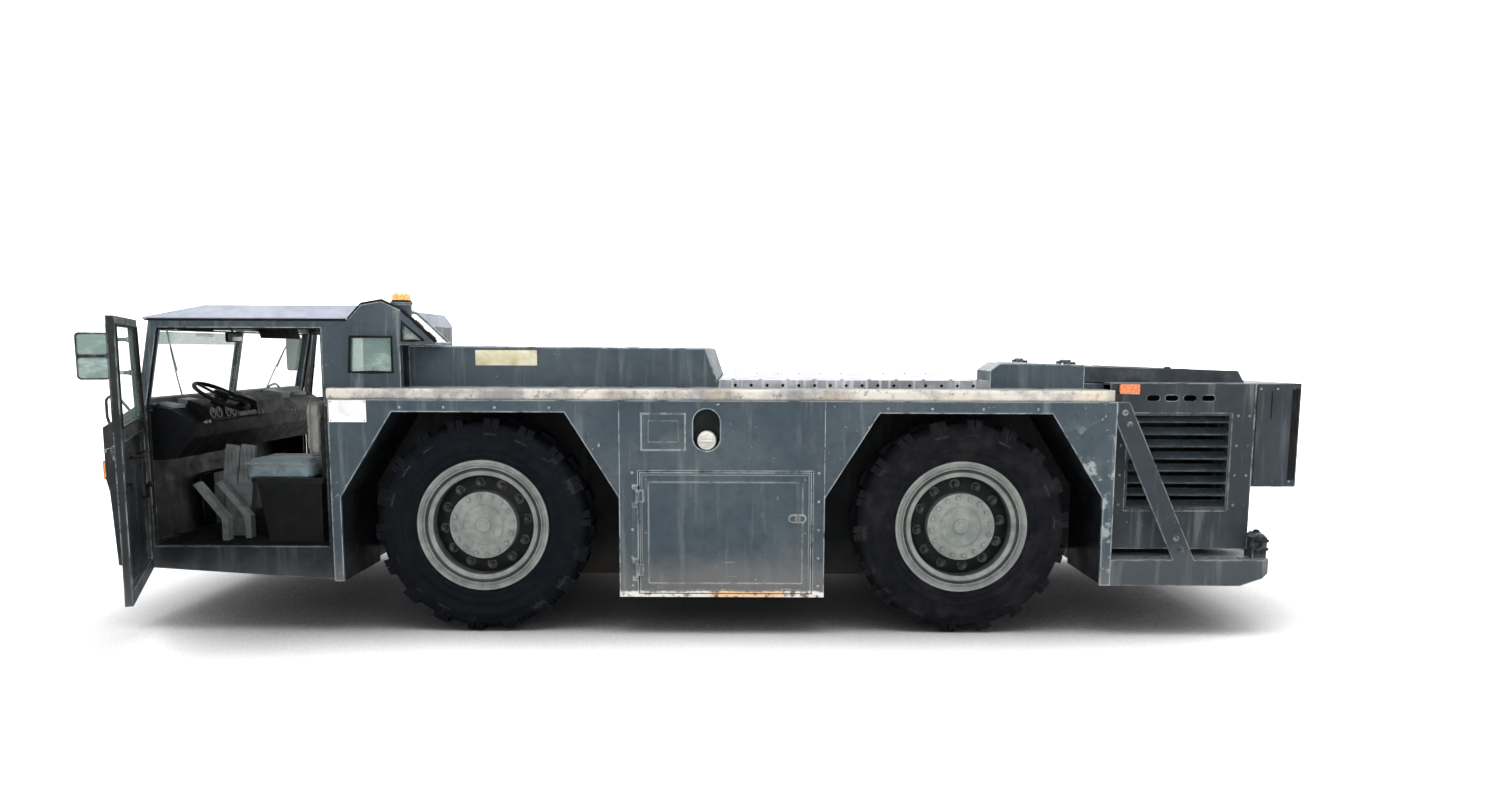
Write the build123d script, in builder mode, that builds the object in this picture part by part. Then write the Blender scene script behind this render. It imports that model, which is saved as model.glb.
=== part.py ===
"""Aircraft pushback tractor with four steered wheels, in millimetres.

The front looks to -X, the left side to -Y and up is +Z. The ground is z = 0 and the
origin lies on it, halfway along and across the vehicle.
"""
import os
from math import cos, hypot, radians, sin, tan

from build123d import *

# Heavy body
HALF_WIDTH = 1225
SIDE_PLATE = 30
FLANGE = 12
BODY_FRONT = -2180
BODY_REAR = 2460
FRONT_SKIRT = 320
REAR_SKIRT = 310
BELLY = 232
DECK_TOP = 1473
DECK_PLATE = 66
DECK_BOTTOM = DECK_TOP - DECK_PLATE
RAIL_OVERHANG = 12

# Axles and wheels
WHEELBASE = 2872
AXLE_MID = 137
FRONT_AXLE = AXLE_MID - WHEELBASE / 2
REAR_AXLE = AXLE_MID + WHEELBASE / 2
WHEEL_Z = 652
TYRE_RADIUS = 652
TYRE_INNER = 840
TYRE_OUTER = 1180
KINGPIN_Y = 790
STEER_ROD_REACH = 200

# Wheel arches
ARCH_HALF = 825
ARCH_TOP_HALF = 508
ARCH_SHOULDER = 830
ARCH_TOP = 1335
ARCH_LINING = 12

# Main frame
FRAME_HALF = 560
FRAME_BOTTOM = 420
FRAME_BELLY = 240
AXLE_BAY_HALF = 430
AXLE_BAY_TOP_HALF = 270
AXLE_BAY_TOP = 880

# Cab
CAB_HALF = 1170
CAB_SKIN = 40
CAB_SIDE = 50
SCREEN_BAR = 36
SCREEN_POST = 22
SCREEN_LAP = 6
SCREEN_BASE = (-3322, 1369)
SCREEN_TOP = (-3228, 1869)
NOSE_X = -3540
NOSE_TOP = 1233
NOSE_NOTCH = 919
CHIN = (-3523, 844)
CHIN_LOW = (-3500, 401)
FLOOR_TOP = 490
SILL_TOP = 520
DOOR_FRONT = SCREEN_BASE[0] + 50
DOOR_REAR = BODY_FRONT - 40
BELT = SCREEN_BASE[1]
ROOF_EDGE = SCREEN_TOP[1]
ROOF_TOP = 1961
CAP_FRONT = BODY_FRONT + 120
CAP_TOP = (CAP_FRONT + 200, 1978)
CAP_REAR = (CAP_FRONT + 316, 1925)
WINDOW_LOW = (CAP_FRONT + 515, 1738)
ROOF_HIP = 266
ROOF_HIP_SIDE = 218
ROOF_SHELL = 24
GLASS = 6
SIDE_WINDOW = (
    (CAP_FRONT - 2, 1565),
    (CAP_FRONT + 10, 1772),
    (CAP_FRONT + 254, 1772),
    (CAP_FRONT + 254, 1565),
)
TURRET_WINDOW = (
    (CAP_FRONT + 314, 1750),
    (CAP_FRONT + 314, 1860),
    (CAP_FRONT + 444, 1750),
)
TURRET_INNER = CAB_HALF - CAB_SIDE - 270
TURRET_WALL = 20
BACK_WALL = 24
BACK_WINDOW_WIDTH = CAB_HALF + TURRET_INNER - 520
BACK_WINDOW = (1600, 1800)

# Cab doors, built standing open
DOOR_OPEN = 67
DOOR_AXIS_X = -3308
DOOR_AXIS_Y = 1229
DOOR_LENGTH = 1110
DOOR_SKIN = 38
DOOR_SILL = 1300

# Locker doors and fuel filler
LOCKER_FRONT = -359
LOCKER_REAR = 676
LOCKER_LOW = 250
LOCKER_HIGH = 990
LOCKER_LEAF = 20
LOCKER_GAP = 6
LOCKER_AXIS_X = LOCKER_FRONT - 9
LOCKER_AXIS_Y = HALF_WIDTH + 12
LOCKER_PIN = 5
FILLER_X = 46
FILLER_Z = 1234
FILLER_WIDTH = 159
FILLER_HEIGHT = 248
FILLER_DEPTH = 90
FILLER_CAP_RADIUS = 57
FILLER_CAP_Z = 1169

# Hoods on the deck
HOOD_HALF = 1000
FRONT_HOOD_FRONT = CAP_FRONT + 302
FRONT_HOOD_REAR = 32
FRONT_HOOD_FOOT = 114
FRONT_HOOD_TOP = 1724
WALKWAY_RAISE = 49
REAR_HOOD_FRONT = 1753
REAR_HOOD_TOP = 1628
REAR_HOOD_DROP = 10
REAR_HOOD_BAR = 2190
REAR_HOOD_INNER = HOOD_HALF - 380
COAMING_Y = HOOD_HALF - 70
COAMING_PLATE = 20
COAMING_TOP = 1509

# Rear end
BAY_HALF = 1085
BAY_WALL = 12
BAY_REAR = 3330
BAY_BOTTOM = 510
BAY_TOP = 1515
ENGINE_LENGTH = 700
ENGINE_WIDTH = 760
LOUVRE_FRONT = 2570
LOUVRE_REAR = 3195
LOUVRE_LOW = 745
LOUVRE_HIGH = 1335
LOUVRE_COUNT = 8
LOUVRE_TILT = 35
COVER_FRONT = 2330
COVER_REAR = 3310
COVER_TOP = 1608
BOX_REAR = 3600
BOX_BOTTOM = 892
PLATFORM_TOP = 466
PLATFORM_REAR = 3430
TAIL_TOP = 650
BUMPER_Y = 1110
BUMPER_WIDTH = 110
BUMPER_DEPTH = 100
BUMPER_TOP = 618
TAIL_REAR = BAY_REAR - BAY_WALL

# Pins and bores
PIN_CLEARANCE = 0.05
TOW_BORE = 21
COUPLING_REAR_Z = 581
COUPLING_FRONT_Z = 600
COUPLING_POCKET = 150
POCKET_WIDTH = 300
POCKET_BOTTOM = 480
POCKET_TOP = 840
LAMP_Y = 850
LAMP_Z = 680
LAMP_RADIUS = 92

# Door leaf, hinges and mirror, measured from the hinge pin
DOOR_INNER = -49
DOOR_EDGE = 18
DOOR_RIM = 40
DOOR_BOTTOM = 400
DOOR_PIN = 8
DOOR_HINGES = (640, 1180)
MIRROR_U = 146
MIRROR_REACH = 92
MIRROR_WIDTH = 170
MIRROR_Z = 1655
MIRROR_HEIGHT = 268

# Driver's place
DRIVER_Y = 700
STEER_X = -3045
STEER_Z = 1402
STEER_RADIUS = 168
STEER_GRIP = 13
STEER_SPOKE = 24
STEER_TILT = 28
STEER_COLUMN = 360
COLUMN_COVERS = (-3020, -2920)
COLUMN_COVER_Z = 965
PEDALS = ((-3180, 90), (-3075, 0))
SEAT_X = -2560
SEAT_Z = 905
SEAT_DEPTH = 460
SEAT_WIDTH = 440
SEAT_PAN = 30
SEAT_PAD = 115
BEACON_X = -1775
BEACON_Y = -1050
BEACON_Z = 1976
BEACON_RADIUS = 58
BEACON_HEIGHT = 58
CORNER_LAMP_X = 2568

# Cover hinge
COVER_AXIS_X = COVER_FRONT - 12
COVER_AXIS_Z = REAR_HOOD_TOP + 10
COVER_HINGE_Y = 600
COVER_BARREL = 120
COVER_PIN = 6

# Diagonal stays
BRACE_HEAD = (2474, 1389)
BRACE_FOOT = (2894, 466)
BRACE_WIDTH = 118
BRACE_PLATE = 14

# Steering joints
FORK_RADIUS = 64
FORK_BOTTOM = 128
FORK_TOP = 164
KINGPIN_RADIUS = 44
ARM_THICK = 30
ROD_PIN = 14
SPINDLE_RADIUS = 60
SPINDLE_END = 1090

# Wheel profile, distances from the middle line along the axle
HUB_RADIUS = 202
HUB_FACE = 1160
HUB_BACK = 880
DISC_FACE = 1080
RIM_FACE = 1166
RIM_BACK = 854
RIM_FLANGE = 18
RIM_INNER = 302
RIM_STEP = 342
RIM_OUTER = 395
BEAD_RADIUS = 368
SPINDLE_BORE_END = 1100

# Tread
TREAD_RADIUS = 622
WALL_RADIUS = 545
BEAD_LIP = 25
SHOULDER = 42
LUG_COUNT = 18
LUG_FILL = 0.98
LUG_GAP = 12
LUG_SLOPE = 22
LUG_CROWN = 3

SIDES = (("left", -1), ("right", 1))
AXLES = (("front", FRONT_AXLE, 1), ("rear", REAR_AXLE, -1))


def side_plane(side, distance):
    """Upright lengthwise plane at a distance from the middle; it faces -Y."""
    return Plane.XZ.offset(-side * distance)


def cross_plane(x):
    """Upright crosswise plane at x; sketch x runs to +Y, sketch y runs up."""
    return Plane(origin=(x, 0, 0), x_dir=(0, 1, 0), z_dir=(1, 0, 0))


def save(name, label):
    """Label one finished piece and write its file."""
    name.part.label = label
    export_step(name.part, f"parts/{label}.step")


def outline(*points):
    """Closed face through the points, added to the sketch that is open."""
    Polygon(*points, align=None)


def cut_outline(*points):
    """Closed face through the points, cut from the sketch that is open."""
    Polygon(*points, align=None, mode=Mode.SUBTRACT)


def arch_opening(grow):
    """Outline of a wheel arch about its axle, grown outward by an amount."""
    with BuildSketch() as arch:
        outline(
            (-ARCH_HALF, 0),
            (-ARCH_HALF, ARCH_SHOULDER),
            (-ARCH_TOP_HALF, ARCH_TOP),
            (ARCH_TOP_HALF, ARCH_TOP),
            (ARCH_HALF, ARCH_SHOULDER),
            (ARCH_HALF, 0),
        )
        if grow:
            offset(amount=grow, kind=Kind.INTERSECTION)
    return arch.sketch


def side_outline():
    """Outline of a body side, before the arches are cut."""
    with BuildSketch() as side:
        outline(
            (BODY_FRONT, FRONT_SKIRT),
            (BODY_FRONT, DECK_BOTTOM),
            (BODY_REAR, DECK_BOTTOM),
            (BODY_REAR, REAR_SKIRT),
            (REAR_AXLE, REAR_SKIRT),
            (REAR_AXLE, BELLY),
            (FRONT_AXLE, BELLY),
            (FRONT_AXLE, FRONT_SKIRT),
        )
    return side.sketch


# Frame and body

def make_main_frame():
    with BuildSketch() as bay:
        outline(
            (-AXLE_BAY_HALF, 0),
            (-AXLE_BAY_TOP_HALF, AXLE_BAY_TOP),
            (AXLE_BAY_TOP_HALF, AXLE_BAY_TOP),
            (AXLE_BAY_HALF, 0),
        )
    with BuildPart() as frame:
        with BuildSketch(Plane.XZ):
            outline(
                (BODY_FRONT, FRAME_BOTTOM),
                (BODY_FRONT, DECK_BOTTOM),
                (BODY_REAR, DECK_BOTTOM),
                (BODY_REAR, TAIL_TOP),
                (TAIL_REAR, TAIL_TOP),
                (TAIL_REAR, PLATFORM_TOP),
                (BODY_REAR, PLATFORM_TOP),
                (BODY_REAR, FRAME_BOTTOM),
                (REAR_AXLE, FRAME_BOTTOM),
                (REAR_AXLE, FRAME_BELLY),
                (FRONT_AXLE, FRAME_BELLY),
                (FRONT_AXLE, FRAME_BOTTOM),
            )
            with Locations((FRONT_AXLE, 0), (REAR_AXLE, 0)):
                add(bay.sketch, mode=Mode.SUBTRACT)
        extrude(amount=FRAME_HALF, both=True)
    save(frame, "main_frame")


def make_side_body(word, side):
    inner = HALF_WIDTH - SIDE_PLATE
    flange_middle = (FRAME_HALF + inner) / 2
    flange_width = inner - FRAME_HALF
    with BuildPart() as body:
        with BuildSketch(side_plane(side, inner)):
            add(side_outline())
            with Locations((FRONT_AXLE, 0), (REAR_AXLE, 0)):
                add(arch_opening(0), mode=Mode.SUBTRACT)
            with Locations(((LOCKER_FRONT + LOCKER_REAR) / 2, (LOCKER_LOW + LOCKER_HIGH) / 2)):
                Rectangle(LOCKER_REAR - LOCKER_FRONT, LOCKER_HIGH - LOCKER_LOW, mode=Mode.SUBTRACT)
            if side < 0:
                with Locations((FILLER_X, FILLER_Z)):
                    SlotOverall(FILLER_HEIGHT, FILLER_WIDTH, rotation=90, mode=Mode.SUBTRACT)
        extrude(amount=-side * SIDE_PLATE)
        with BuildSketch(side_plane(side, FRAME_HALF)):
            with Locations((FRONT_AXLE, 0), (REAR_AXLE, 0)):
                add(arch_opening(ARCH_LINING))
            with Locations((FRONT_AXLE, 0), (REAR_AXLE, 0)):
                add(arch_opening(0), mode=Mode.SUBTRACT)
            with Locations((AXLE_MID, 0)):
                Rectangle(3 * WHEELBASE, 2 * FRONT_SKIRT, mode=Mode.SUBTRACT)
        extrude(amount=-side * (inner - FRAME_HALF))
        for x, skirt in ((BODY_FRONT, FRONT_SKIRT), (BODY_REAR - FLANGE, REAR_SKIRT)):
            with BuildSketch(cross_plane(x)):
                with Locations((side * flange_middle, (skirt + DECK_BOTTOM) / 2)):
                    Rectangle(flange_width, DECK_BOTTOM - skirt)
            extrude(amount=FLANGE)
        with BuildSketch(Plane.XY.offset(BELLY)):
            with Locations((AXLE_MID, side * flange_middle)):
                Rectangle(WHEELBASE - 2 * ARCH_HALF, flange_width)
        extrude(amount=FLANGE)
        for z in hinge_heights():
            for start in (z - 65, z + 41):
                with BuildSketch(Plane.XY.offset(start)):
                    with Locations((LOCKER_AXIS_X, side * LOCKER_AXIS_Y)):
                        Circle(9)
                    with Locations((LOCKER_AXIS_X - 12, side * (LOCKER_AXIS_Y + HALF_WIDTH) / 2)):
                        Rectangle(24, LOCKER_AXIS_Y - HALF_WIDTH)
                extrude(amount=24)
            with BuildSketch(Plane.XY.offset(z - 65)):
                with Locations((LOCKER_AXIS_X, side * LOCKER_AXIS_Y)):
                    Circle(LOCKER_PIN)
            extrude(amount=130)
        if side < 0:
            add(fuel_filler())
    save(body, f"side_body_{word}")


def make_deck():
    with BuildPart() as deck:
        with BuildSketch(Plane.XY.offset(DECK_BOTTOM)):
            with Locations(((BODY_FRONT + BODY_REAR) / 2, 0)):
                Rectangle(BODY_REAR - BODY_FRONT, 2 * (HALF_WIDTH + RAIL_OVERHANG))
            chamfer(vertices().group_by(Axis.X)[-1], length=70)
        extrude(amount=DECK_PLATE)
        fillet(deck.edges().filter_by(Axis.X), radius=DECK_PLATE / 3)
    save(deck, "deck")


def make_lockers():
    """Open-fronted lockers behind the two locker doors."""
    wall = 6
    mouth = HALF_WIDTH - SIDE_PLATE
    width = LOCKER_REAR - LOCKER_FRONT + 2 * wall
    height = LOCKER_HIGH - LOCKER_LOW + 2 * wall
    centre = ((LOCKER_FRONT + LOCKER_REAR) / 2, (LOCKER_LOW + LOCKER_HIGH) / 2)
    with BuildPart() as lockers:
        for side in (-1, 1):
            with BuildSketch(side_plane(side, FRAME_HALF)):
                with Locations(centre):
                    Rectangle(width, height)
            extrude(amount=-side * (mouth - FRAME_HALF))
            with BuildSketch(side_plane(side, FRAME_HALF + wall)):
                with Locations(centre):
                    Rectangle(width - 2 * wall, height - 2 * wall)
            extrude(amount=-side * (mouth - FRAME_HALF - wall), mode=Mode.SUBTRACT)
    save(lockers, "lockers")


def fuel_filler():
    """Slot-shaped cup behind the left side with the filler neck standing in it."""
    wall = 6
    mouth = HALF_WIDTH - SIDE_PLATE
    with BuildPart(mode=Mode.PRIVATE) as cup:
        with BuildSketch(side_plane(-1, mouth - FILLER_DEPTH)):
            with Locations((FILLER_X, FILLER_Z)):
                SlotOverall(FILLER_HEIGHT + 2 * wall, FILLER_WIDTH + 2 * wall, rotation=90)
        extrude(amount=FILLER_DEPTH)
        with BuildSketch(side_plane(-1, mouth - FILLER_DEPTH + wall)):
            with Locations((FILLER_X, FILLER_Z)):
                SlotOverall(FILLER_HEIGHT, FILLER_WIDTH, rotation=90)
        extrude(amount=FILLER_DEPTH - wall, mode=Mode.SUBTRACT)
        with BuildSketch(side_plane(-1, mouth - FILLER_DEPTH)):
            with Locations((FILLER_X, FILLER_CAP_Z)):
                Circle(0.7 * FILLER_CAP_RADIUS)
        extrude(amount=FILLER_DEPTH / 2)
    return cup.part


def make_fuel_cap():
    """Round filler cap with a grip bar across it."""
    cap_base = HALF_WIDTH - SIDE_PLATE - FILLER_DEPTH / 2
    with BuildPart() as cap:
        with BuildSketch(side_plane(-1, cap_base)):
            with Locations((FILLER_X, FILLER_CAP_Z)):
                Circle(FILLER_CAP_RADIUS)
        extrude(amount=34)
        chamfer(cap.faces().sort_by(Axis.Y)[0].edges(), length=6)
        with BuildSketch(side_plane(-1, cap_base + 34)):
            with Locations((FILLER_X, FILLER_CAP_Z)):
                Rectangle(1.5 * FILLER_CAP_RADIUS, 14)
        extrude(amount=12)
    save(cap, "fuel_cap")


def make_locker_door(word, side):
    """Leaf with a pressed frame and two hinge barrels at its front edge."""
    outer = HALF_WIDTH - 2
    middle = (LOCKER_LOW + LOCKER_HIGH) / 2
    height = LOCKER_HIGH - LOCKER_LOW - 2 * LOCKER_GAP
    with BuildPart() as leaf:
        with BuildSketch(side_plane(side, outer - LOCKER_LEAF)):
            with Locations(((LOCKER_FRONT + LOCKER_REAR) / 2, middle)):
                Rectangle(LOCKER_REAR - LOCKER_FRONT - 2 * LOCKER_GAP, height)
        extrude(amount=-side * LOCKER_LEAF)
        with BuildSketch(side_plane(side, outer)):
            with Locations(((LOCKER_FRONT + LOCKER_REAR) / 2, middle)):
                Rectangle(LOCKER_REAR - LOCKER_FRONT - 120, height - 120)
        extrude(amount=side * 4, mode=Mode.SUBTRACT)
        for z in hinge_heights():
            with BuildSketch(Plane.XY.offset(z - 35)):
                with Locations((LOCKER_AXIS_X, side * LOCKER_AXIS_Y)):
                    Circle(9)
                with Locations((LOCKER_AXIS_X + 20, side * (LOCKER_AXIS_Y - 3))):
                    Rectangle(40, 8)
                with Locations((LOCKER_AXIS_X + 31, side * (LOCKER_AXIS_Y - 10))):
                    Rectangle(18, 14)
            extrude(amount=70)
            with BuildSketch(Plane.XY.offset(z - 35)):
                with Locations((LOCKER_AXIS_X, side * LOCKER_AXIS_Y)):
                    Circle(LOCKER_PIN + PIN_CLEARANCE)
            extrude(amount=70, mode=Mode.SUBTRACT)
        with BuildSketch(side_plane(side, outer - 4)):
            with Locations((LOCKER_REAR - 90, 0.62 * LOCKER_HIGH + 0.38 * LOCKER_LOW)):
                SlotOverall(100, 44)
        extrude(amount=-side * 16)
    save(leaf, f"locker_door_{word}")


def hinge_heights():
    """Heights of the two hinges of a locker door."""
    span = LOCKER_HIGH - LOCKER_LOW
    return (LOCKER_LOW + 0.2 * span, LOCKER_HIGH - 0.2 * span)


# On the deck

def make_front_hood():
    with BuildPart() as hood:
        with BuildSketch(Plane.XZ):
            outline(
                (FRONT_HOOD_FRONT, DECK_TOP),
                (FRONT_HOOD_FRONT, FRONT_HOOD_TOP),
                (FRONT_HOOD_REAR, FRONT_HOOD_TOP - 10),
                (FRONT_HOOD_FOOT, DECK_TOP),
            )
        extrude(amount=HOOD_HALF, both=True)
        top_edges = hood.faces().sort_by(Axis.Z)[-1].edges()
        fillet(top_edges.filter_by(Axis.Y, reverse=True).sort_by(Axis.Y), radius=22)
    save(hood, "front_hood")


def make_walkway():
    """Raised tread plate on risers with a row of round holes."""
    length = REAR_HOOD_FRONT - FRONT_HOOD_FOOT
    riser = WALKWAY_RAISE - 14
    middle = (REAR_HOOD_FRONT + FRONT_HOOD_FOOT) / 2
    hole_pitch = 96
    hole_count = int(length / hole_pitch) - 1
    with BuildPart() as walkway:
        with BuildSketch(Plane.XY.offset(DECK_TOP)):
            with Locations((middle, 0)):
                Rectangle(length, 2 * HOOD_HALF)
        extrude(amount=WALKWAY_RAISE)
        with BuildSketch(Plane.XY.offset(DECK_TOP)):
            with Locations((middle, 0)):
                Rectangle(length - 24, 2 * HOOD_HALF - 24)
        extrude(amount=riser, mode=Mode.SUBTRACT)
        with BuildSketch(Plane.XZ):
            with Locations((middle, DECK_TOP + riser / 2)):
                with GridLocations(hole_pitch, 0, hole_count, 1):
                    RegularPolygon(10, 8)
        extrude(amount=HOOD_HALF, both=True, mode=Mode.SUBTRACT)
    save(walkway, "walkway")


def make_rear_hood():
    """Low hood across the deck with a long locker forward along the left side."""
    rear = COVER_FRONT - 6
    low_top = REAR_HOOD_TOP - REAR_HOOD_DROP
    with BuildPart() as hood:
        with BuildSketch(side_plane(-1, REAR_HOOD_INNER)):
            outline(
                (REAR_HOOD_FRONT, DECK_TOP),
                (REAR_HOOD_FRONT, REAR_HOOD_TOP - 45),
                (REAR_HOOD_FRONT + 60, REAR_HOOD_TOP),
                (rear, low_top),
                (rear, DECK_TOP),
            )
        extrude(amount=HOOD_HALF - REAR_HOOD_INNER)
        for side in (-1, 1):
            with BuildSketch(side_plane(side, COAMING_Y)):
                outline(
                    (rear - 10, DECK_TOP),
                    (rear - 10, COAMING_TOP),
                    (BODY_REAR, COAMING_TOP),
                    (BODY_REAR, DECK_TOP),
                )
            extrude(amount=-side * COAMING_PLATE)
        with BuildSketch(Plane.XZ):
            outline(
                (REAR_HOOD_BAR, DECK_TOP),
                (REAR_HOOD_BAR, low_top - 45),
                (REAR_HOOD_BAR + 60, low_top),
                (rear, low_top),
                (rear, DECK_TOP),
            )
        extrude(amount=HOOD_HALF, both=True)
        for y in (-COVER_HINGE_Y, COVER_HINGE_Y):
            for start in (-COVER_BARREL / 2 - 34, COVER_BARREL / 2 + 6):
                with BuildSketch(Plane.XZ.offset(-y + start)):
                    with Locations((COVER_AXIS_X, COVER_AXIS_Z)):
                        Circle(12)
                    with Locations((COVER_AXIS_X - 16, COVER_AXIS_Z - 10)):
                        Rectangle(32, 24)
                extrude(amount=28)
            with BuildSketch(Plane.XZ.offset(-y - COVER_BARREL / 2 - 34)):
                with Locations((COVER_AXIS_X, COVER_AXIS_Z)):
                    Circle(COVER_PIN)
            extrude(amount=COVER_BARREL + 68)
    save(hood, "rear_hood")


# Cab

def make_cab_tub():
    """Floor, sills, nose and back wall, open at the top and at the doors."""
    back = BODY_FRONT - CAB_SKIN
    pocket_back = NOSE_X + COUPLING_POCKET
    pocket_middle = (POCKET_BOTTOM + POCKET_TOP) / 2
    pocket_height = POCKET_TOP - POCKET_BOTTOM
    with BuildPart() as tub:
        with BuildSketch(Plane.XZ):
            outline(
                (NOSE_X, NOSE_NOTCH),
                (NOSE_X, NOSE_TOP),
                SCREEN_BASE,
                (BODY_FRONT, BELT),
                (BODY_FRONT, FRONT_SKIRT),
                CHIN_LOW,
                CHIN,
            )
        extrude(amount=CAB_HALF, both=True)
        with BuildSketch(Plane.XZ):
            outline(
                (NOSE_X + CAB_SKIN, NOSE_NOTCH),
                (NOSE_X + CAB_SKIN, NOSE_TOP - 26),
                (SCREEN_BASE[0] + 10, BELT - 40),
                (SCREEN_BASE[0] + 50, BELT - 40),
                (SCREEN_BASE[0] + 50, 2 * BELT),
                (back, 2 * BELT),
                (back, FLOOR_TOP),
                (CHIN_LOW[0] + CAB_SKIN, FLOOR_TOP),
                (CHIN[0] + CAB_SKIN, CHIN[1]),
            )
        extrude(amount=CAB_HALF - CAB_SKIN, both=True, mode=Mode.SUBTRACT)
        with BuildSketch(Plane.XZ):
            outline(
                (DOOR_FRONT, SILL_TOP),
                (DOOR_FRONT, 2 * BELT),
                (DOOR_REAR, 2 * BELT),
                (DOOR_REAR, SILL_TOP),
            )
        extrude(amount=2 * CAB_HALF, both=True, mode=Mode.SUBTRACT)
        with BuildSketch(cross_plane(NOSE_X)):
            with Locations((0, pocket_middle)):
                Rectangle(POCKET_WIDTH, pocket_height)
            with Locations((-LAMP_Y, LAMP_Z), (LAMP_Y, LAMP_Z)):
                Circle(LAMP_RADIUS)
        extrude(amount=COUPLING_POCKET, mode=Mode.SUBTRACT)
        with BuildSketch(cross_plane(CHIN_LOW[0] + 10)):
            with Locations((0, pocket_middle)):
                Rectangle(POCKET_WIDTH + 20, pocket_height + 20)
                Rectangle(POCKET_WIDTH, pocket_height, mode=Mode.SUBTRACT)
        extrude(amount=pocket_back - CHIN_LOW[0])
        with BuildSketch(cross_plane(pocket_back)):
            with Locations((0, pocket_middle)):
                Rectangle(POCKET_WIDTH + 20, pocket_height + 20)
        extrude(amount=10)
        for side in (-1, 1):
            for z in DOOR_HINGES:
                for start in (z - 80, z + 55):
                    with BuildSketch(Plane.XY.offset(start)):
                        with Locations((DOOR_AXIS_X, side * DOOR_AXIS_Y)):
                            Circle(14)
                        with Locations((DOOR_AXIS_X - 10, side * (DOOR_AXIS_Y + CAB_HALF) / 2)):
                            Rectangle(28, DOOR_AXIS_Y - CAB_HALF)
                    extrude(amount=25)
                with BuildSketch(Plane.XY.offset(z - 80)):
                    with Locations((DOOR_AXIS_X, side * DOOR_AXIS_Y)):
                        Circle(DOOR_PIN)
                extrude(amount=160)
            path = grab_rail(side * (CAB_HALF - 40))
            with BuildSketch(Plane(origin=path @ 0, z_dir=path % 0)):
                RegularPolygon(9, 8)
            sweep(path=path, transition=Transition.ROUND)
    save(tub, "cab_tub")


def grab_rail(y):
    """Bent path of a grab rail over the cowl at y."""
    with BuildLine(mode=Mode.PRIVATE) as rail:
        FilletPolyline(
            (NOSE_X + 30, y, NOSE_TOP - 6),
            (NOSE_X + 10, y, NOSE_TOP + 60),
            (NOSE_X + 10, y, NOSE_TOP + 170),
            (NOSE_X + 70, y, NOSE_TOP + 195),
            (SCREEN_BASE[0] - 60, y, BELT - 48),
            radius=30,
        )
    return rail.line


def turret_outline():
    """Points of the driver's rear corner above the deck, from the roof's end backward."""
    return (
        (CAP_FRONT, ROOF_EDGE),
        (CAP_TOP[0] - 118, CAP_TOP[1] - 21),
        CAP_TOP,
        CAP_REAR,
        WINDOW_LOW,
        (WINDOW_LOW[0], FRONT_HOOD_TOP),
        (FRONT_HOOD_FRONT, FRONT_HOOD_TOP),
        (FRONT_HOOD_FRONT, DECK_TOP),
    )


def make_cab_side(word, side):
    """Upper side of the cab; the driver's side runs on into the rear corner."""
    back = turret_outline() if side < 0 else ((CAP_FRONT, ROOF_EDGE), (CAP_FRONT, DECK_TOP))
    with BuildPart() as panel:
        with BuildSketch(side_plane(side, CAB_HALF - CAB_SIDE)):
            outline(
                SCREEN_BASE,
                SCREEN_TOP,
                *back,
                (BODY_FRONT, DECK_TOP),
                (BODY_FRONT, BELT),
            )
            cut_outline(
                (SCREEN_BASE[0] + 50, BELT),
                (SCREEN_TOP[0] + 44, ROOF_EDGE - 47),
                (DOOR_REAR, ROOF_EDGE - 47),
                (DOOR_REAR, BELT),
            )
            if side < 0:
                cut_outline(*SIDE_WINDOW)
                cut_outline(*TURRET_WINDOW)
        extrude(amount=-side * CAB_SIDE)
    save(panel, f"cab_side_{word}")


def make_cab_bows():
    """Crosswise bars of the windscreen and its middle post."""
    half = CAB_HALF - CAB_SIDE
    lean = (SCREEN_TOP[0] - SCREEN_BASE[0]) / (SCREEN_TOP[1] - SCREEN_BASE[1])
    with BuildPart() as bows:
        with BuildSketch(Plane.XZ):
            outline(
                SCREEN_BASE,
                (SCREEN_BASE[0] + lean * SCREEN_BAR, BELT + SCREEN_BAR),
                (SCREEN_BASE[0] + lean * SCREEN_BAR + 40, BELT + SCREEN_BAR),
                (SCREEN_BASE[0] + 50, BELT),
            )
            outline(
                (SCREEN_TOP[0] - lean * 50, ROOF_EDGE - 50),
                SCREEN_TOP,
                (SCREEN_TOP[0] + 60, ROOF_EDGE),
                (SCREEN_TOP[0] + 42, ROOF_EDGE - 50),
            )
        extrude(amount=half, both=True)
        with BuildSketch(Plane.XZ):
            outline(
                SCREEN_BASE,
                SCREEN_TOP,
                (SCREEN_TOP[0] + 36, ROOF_EDGE),
                (SCREEN_BASE[0] + 36, BELT),
            )
        extrude(amount=SCREEN_POST, both=True)
        add(screen_pane(-1), mode=Mode.SUBTRACT)
        add(screen_pane(1), mode=Mode.SUBTRACT)
    save(bows, "screen_frame")


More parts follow.
